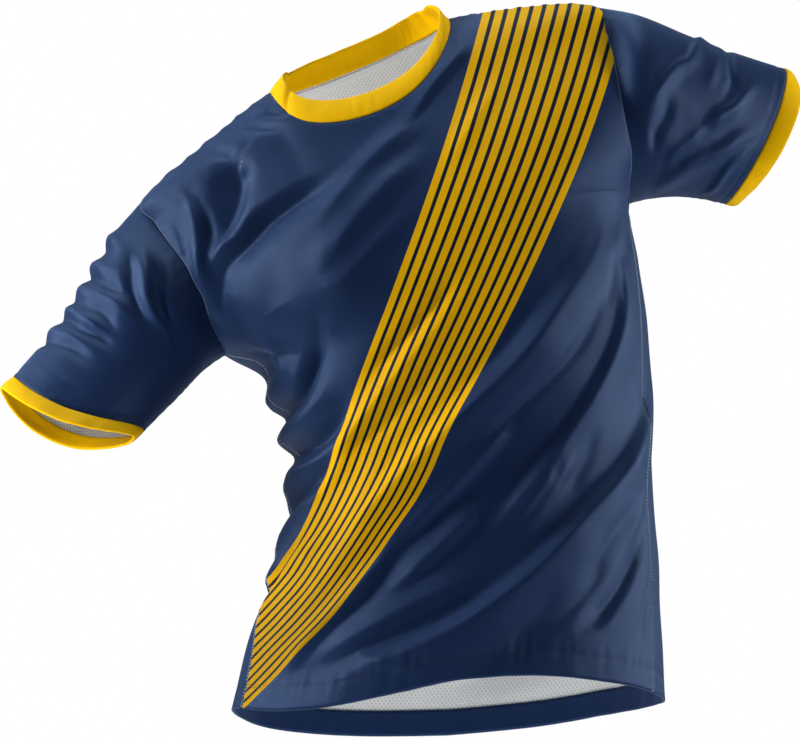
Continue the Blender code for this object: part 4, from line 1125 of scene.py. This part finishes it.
def mesh_surface(n):
    """The reverse of the knit: a pale mesh with small staggered eyelets, their holes painted darker grey as
    shade.
    """
    u, v = n.flat("cloth")
    eyelet = n.math("MULTIPLY", n.wave(u, EYELET_PITCH[0]), n.wave(v, EYELET_PITCH[1]))
    hole = n.ramp(eyelet, *EYELET_EDGE)
    bump = n.bump(n.math("MULTIPLY", hole, -1.0), EYELET_DEPTH, EYELET_BUMP)
    # The eyelets sink by bump, and their holes are painted darker as shade
    return cloth_shader(n, MESH, bump, n.mix_color(hole, MESH["color"], MESH_HOLE_SHADE))


def tape_surface(n):
    u, v = n.flat("cloth")
    weave = n.math("MULTIPLY", n.wave(u, WEAVE_PITCH), n.wave(v, WEAVE_PITCH))
    return cloth_shader(n, TAPE, n.bump(weave, WEAVE_DEPTH))


def thread_material(name, look):
    return new_material(name, lambda n: cloth_shader(n, look, n.bump(n.noise(FIBRE_SCALE), FIBRE_DEPTH, 1.0)))


def floor_surface(n):
    floor = n.make("ShaderNodeBsdfPrincipled", Base_Color=tinted(n, FLOOR), Roughness=FLOOR_ROUGHNESS)
    return floor.outputs[0]


def cloth_piece(piece, node, slot_name, flat, area, held="hung", rests_on=()):
    """Hangs a piece of cloth on the root and hides the solid part that it stands for."""
    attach(piece, "root")
    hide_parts(node)


def between_rows(grid, place):
    """The row at a fractional place in a grid."""
    low = int(place)
    share = place - low
    return grid[low] * (1 - share) + grid[low + 1] * share


def build_body(name, drop, faces_back, kinds):
    """Front or back with its turned-up hem, and on the back the neck tape; gives back its stitch rows."""
    points, normals, flat, sash = panel_cloth(drop, faces_back)
    outside = kinds["navy"] if faces_back else kinds["sash"]
    maps = {"cloth": flat, "sash": sash}
    panel = shell(f"{name}_panel", points, normals * CLOTH / 2, (outside, kinds["mesh"]), maps)
    cloth_piece(panel, name, "navy_polyester", *CUTS[name])

    def strip(piece_name, kind, points, normals, flat):
        """A strip of thin cloth that lies just inside the panel."""
        inside = points - normals * inward
        return shell(piece_name, inside, normals * FACING / 2, (kind, kind), {"cloth": flat})

    inward = CLOTH / 2 + LAYER_GAP + FACING / 2
    rows = slice(0, HEM_TURN_UP_ROWS + 1)
    hem = strip(f"{name}_hem_facing", kinds["navy"], points[rows], normals[rows], flat[rows])
    cloth_piece(hem, f"hem_{name}", "navy_polyester", *CUTS[f"hem_{name}"], held="folded")
    reach = path_length(points, 0)
    rows_of_thread = []
    for place, _ in HEM_CHANNELS:
        at = place / reach[HEM_TURN_UP_ROWS].mean() * HEM_TURN_UP_ROWS
        row, out = between_rows(points, at), unit(between_rows(normals, at))
        rows_of_thread.append(stitched(row + out * CLOTH / 2, out))
        rows_of_thread.append(stitched(row - out * (inward + FACING / 2), -out))
    if faces_back:
        neck = slice(SHOULDER_STEPS, SHOULDER_STEPS + NECK_STEPS + 1)
        places = np.linspace(*TAPE_ROWS, TAPE_STEPS + 1)
        tape, tape_normals, tape_flat = (
            np.array([between_rows(source[::-1, neck], place) for place in places])
            for source in (points, normals, flat)
        )
        tape = strip("back_neck_tape", kinds["tape"], tape, unit(tape_normals), tape_flat)
        cloth_piece(tape, "neck_tape", "white_tape", *CUTS["neck_tape"], rests_on=("back_panel",))
    return points, normals, rows_of_thread


def build_band(name, node, cloth, cut, kind):
    """A knitted band with a rounded free edge."""
    points, normals, flat = cloth
    maps = {"cloth": flat}
    band = shell(name, points, normals * BAND / 2, (kind, kind), maps, closed=True, rounded=True)
    cloth_piece(band, node, "gold_rib", *CUTS[cut])


def hang(light, place, aim):
    """Puts a lamp in its place, pointing at its aim."""
    lamp = bpy.data.objects.new(light.name, light)
    bpy.context.collection.objects.link(lamp)
    lamp.location = place
    lamp.rotation_mode = "QUATERNION"
    lamp.rotation_quaternion = (Vector(place) - Vector(aim)).to_track_quat("Z", "Y")


def area_light(name, place, size, power, color, aim):
    light = bpy.data.lights.new(name, "AREA")
    light.shape = "RECTANGLE"
    light.size, light.size_y = size
    light.energy = power
    light.color = color
    hang(light, place, aim)


def spot_light(name, place, aim, power, cone_deg):
    light = bpy.data.lights.new(name, "SPOT")
    light.energy = power
    light.shadow_soft_size = SPOT_SIZE
    light.spot_size = math.radians(cone_deg)
    light.spot_blend = SPOT_BLEND
    hang(light, place, aim)


def studio():
    """Soft light from both sides, a white room and a pale floor."""
    world = bpy.data.worlds.new("studio")
    n = Nodes(world)
    seen, lit = (
        n.make("ShaderNodeBackground", Color=(*WHITE, 1.0), Strength=strength)
        for strength in (BACKDROP, WORLD_LIGHT)
    )
    seen_by_camera = n.make("ShaderNodeLightPath").outputs["Is Camera Ray"]
    n.output(n.mix_shader(seen_by_camera, lit.outputs[0], seen.outputs[0]), "ShaderNodeOutputWorld")
    bpy.context.scene.world = world
    for light in LIGHTS:
        area_light(*light, LOOK_AT)
    for spot in SPOTS:
        spot_light(*spot)
    s = FLOOR_SIZE
    corners = [(-s, -s, 0), (s, -s, 0), (s, s, 0), (-s, s, 0)]
    floor = new_piece("floor", corners, [(0, 1, 2, 3)], [new_material("pale_floor", floor_surface)])
    floor.location = (0.0, 0.0, FLOOR_HEIGHT)


def camera():
    """The photograph's view, from the front and a little below."""
    rise, distance = math.radians(CAMERA_ELEVATION), CAMERA_DISTANCE
    back = Vector((0.0, -math.cos(rise), math.sin(rise)))
    lens = bpy.data.cameras.new("camera")
    lens.sensor_width = FILM_WIDTH
    lens.lens = FILM_WIDTH * distance / VIEW_WIDTH
    lens.clip_end = FARTHEST
    eye = bpy.data.objects.new("camera", lens)
    eye.location = Vector(LOOK_AT) + back * distance
    eye.rotation_mode = "QUATERNION"
    eye.rotation_quaternion = (-back).to_track_quat("-Z", "Y")
    bpy.context.collection.objects.link(eye)
    bpy.context.scene.camera = eye


def main():
    bpy.context.scene.view_settings.view_transform = "Standard"
    kinds = {
        "navy": new_material("navy_knit", lambda n: cloth_shader(n, NAVY, knit(n))),
        "sash": new_material("navy_knit_with_sash", sash_surface),
        "mesh": new_material("mesh_reverse", mesh_surface),
        "gold": new_material("gold_band", lambda n: cloth_shader(n, BAND_GOLD, knit(n))),
        "tape": new_material("woven_tape", tape_surface),
    }
    studio()
    camera()

    front, front_normals, front_rows = build_body("front", FRONT_NECK_DROP, False, kinds)
    back, back_normals, back_rows = build_body("back", BACK_NECK_DROP, True, kinds)
    thread("hem_stitches", front_rows + back_rows, thread_material("navy_thread", HEM_THREAD))

    def beside(edge, inner, normals):
        """A row of stitches beside a panel's edge, on the side of the inner line."""
        line = edge + unit(inner - edge) * STITCH_FROM_SEAM
        return stitched(line + normals * CLOTH / 2, normals)

    seam_rows = []
    for column, inner in ((0, 1), (-1, -2)):
        for points, normals in ((front, front_normals), (back, back_normals)):
            seam_rows.append(beside(points[:, column], points[:, inner], normals[:, inner]))
    for part in (slice(0, SHOULDER_STEPS + 1), slice(-SHOULDER_STEPS - 1, None)):
        seam_rows.append(beside(back[-1, part], back[-3, part], back_normals[-3, part]))
    thread("seam_stitches", seam_rows, thread_material("slate_thread", SEAM_THREAD))

    for name, side, table, folds, run_table in SLEEVES:
        points, normals, flat = sleeve_cloth(side, table, folds)
        faces = (kinds["navy"], kinds["mesh"])
        sleeve = shell(f"{name}_sleeve", points, normals * CLOTH / 2, faces, {"cloth": flat}, closed=True)
        cloth_piece(sleeve, f"sleeve_{name}", "navy_polyester", *CUTS["sleeve"])
        cuff = cuff_cloth(points, side, run_table)
        build_band(f"{name}_cuff", f"cuff_{name}", cuff, "cuff", kinds["gold"])
    build_band("collar_band", "collar", collar_cloth(), "collar", kinds["gold"])


main()
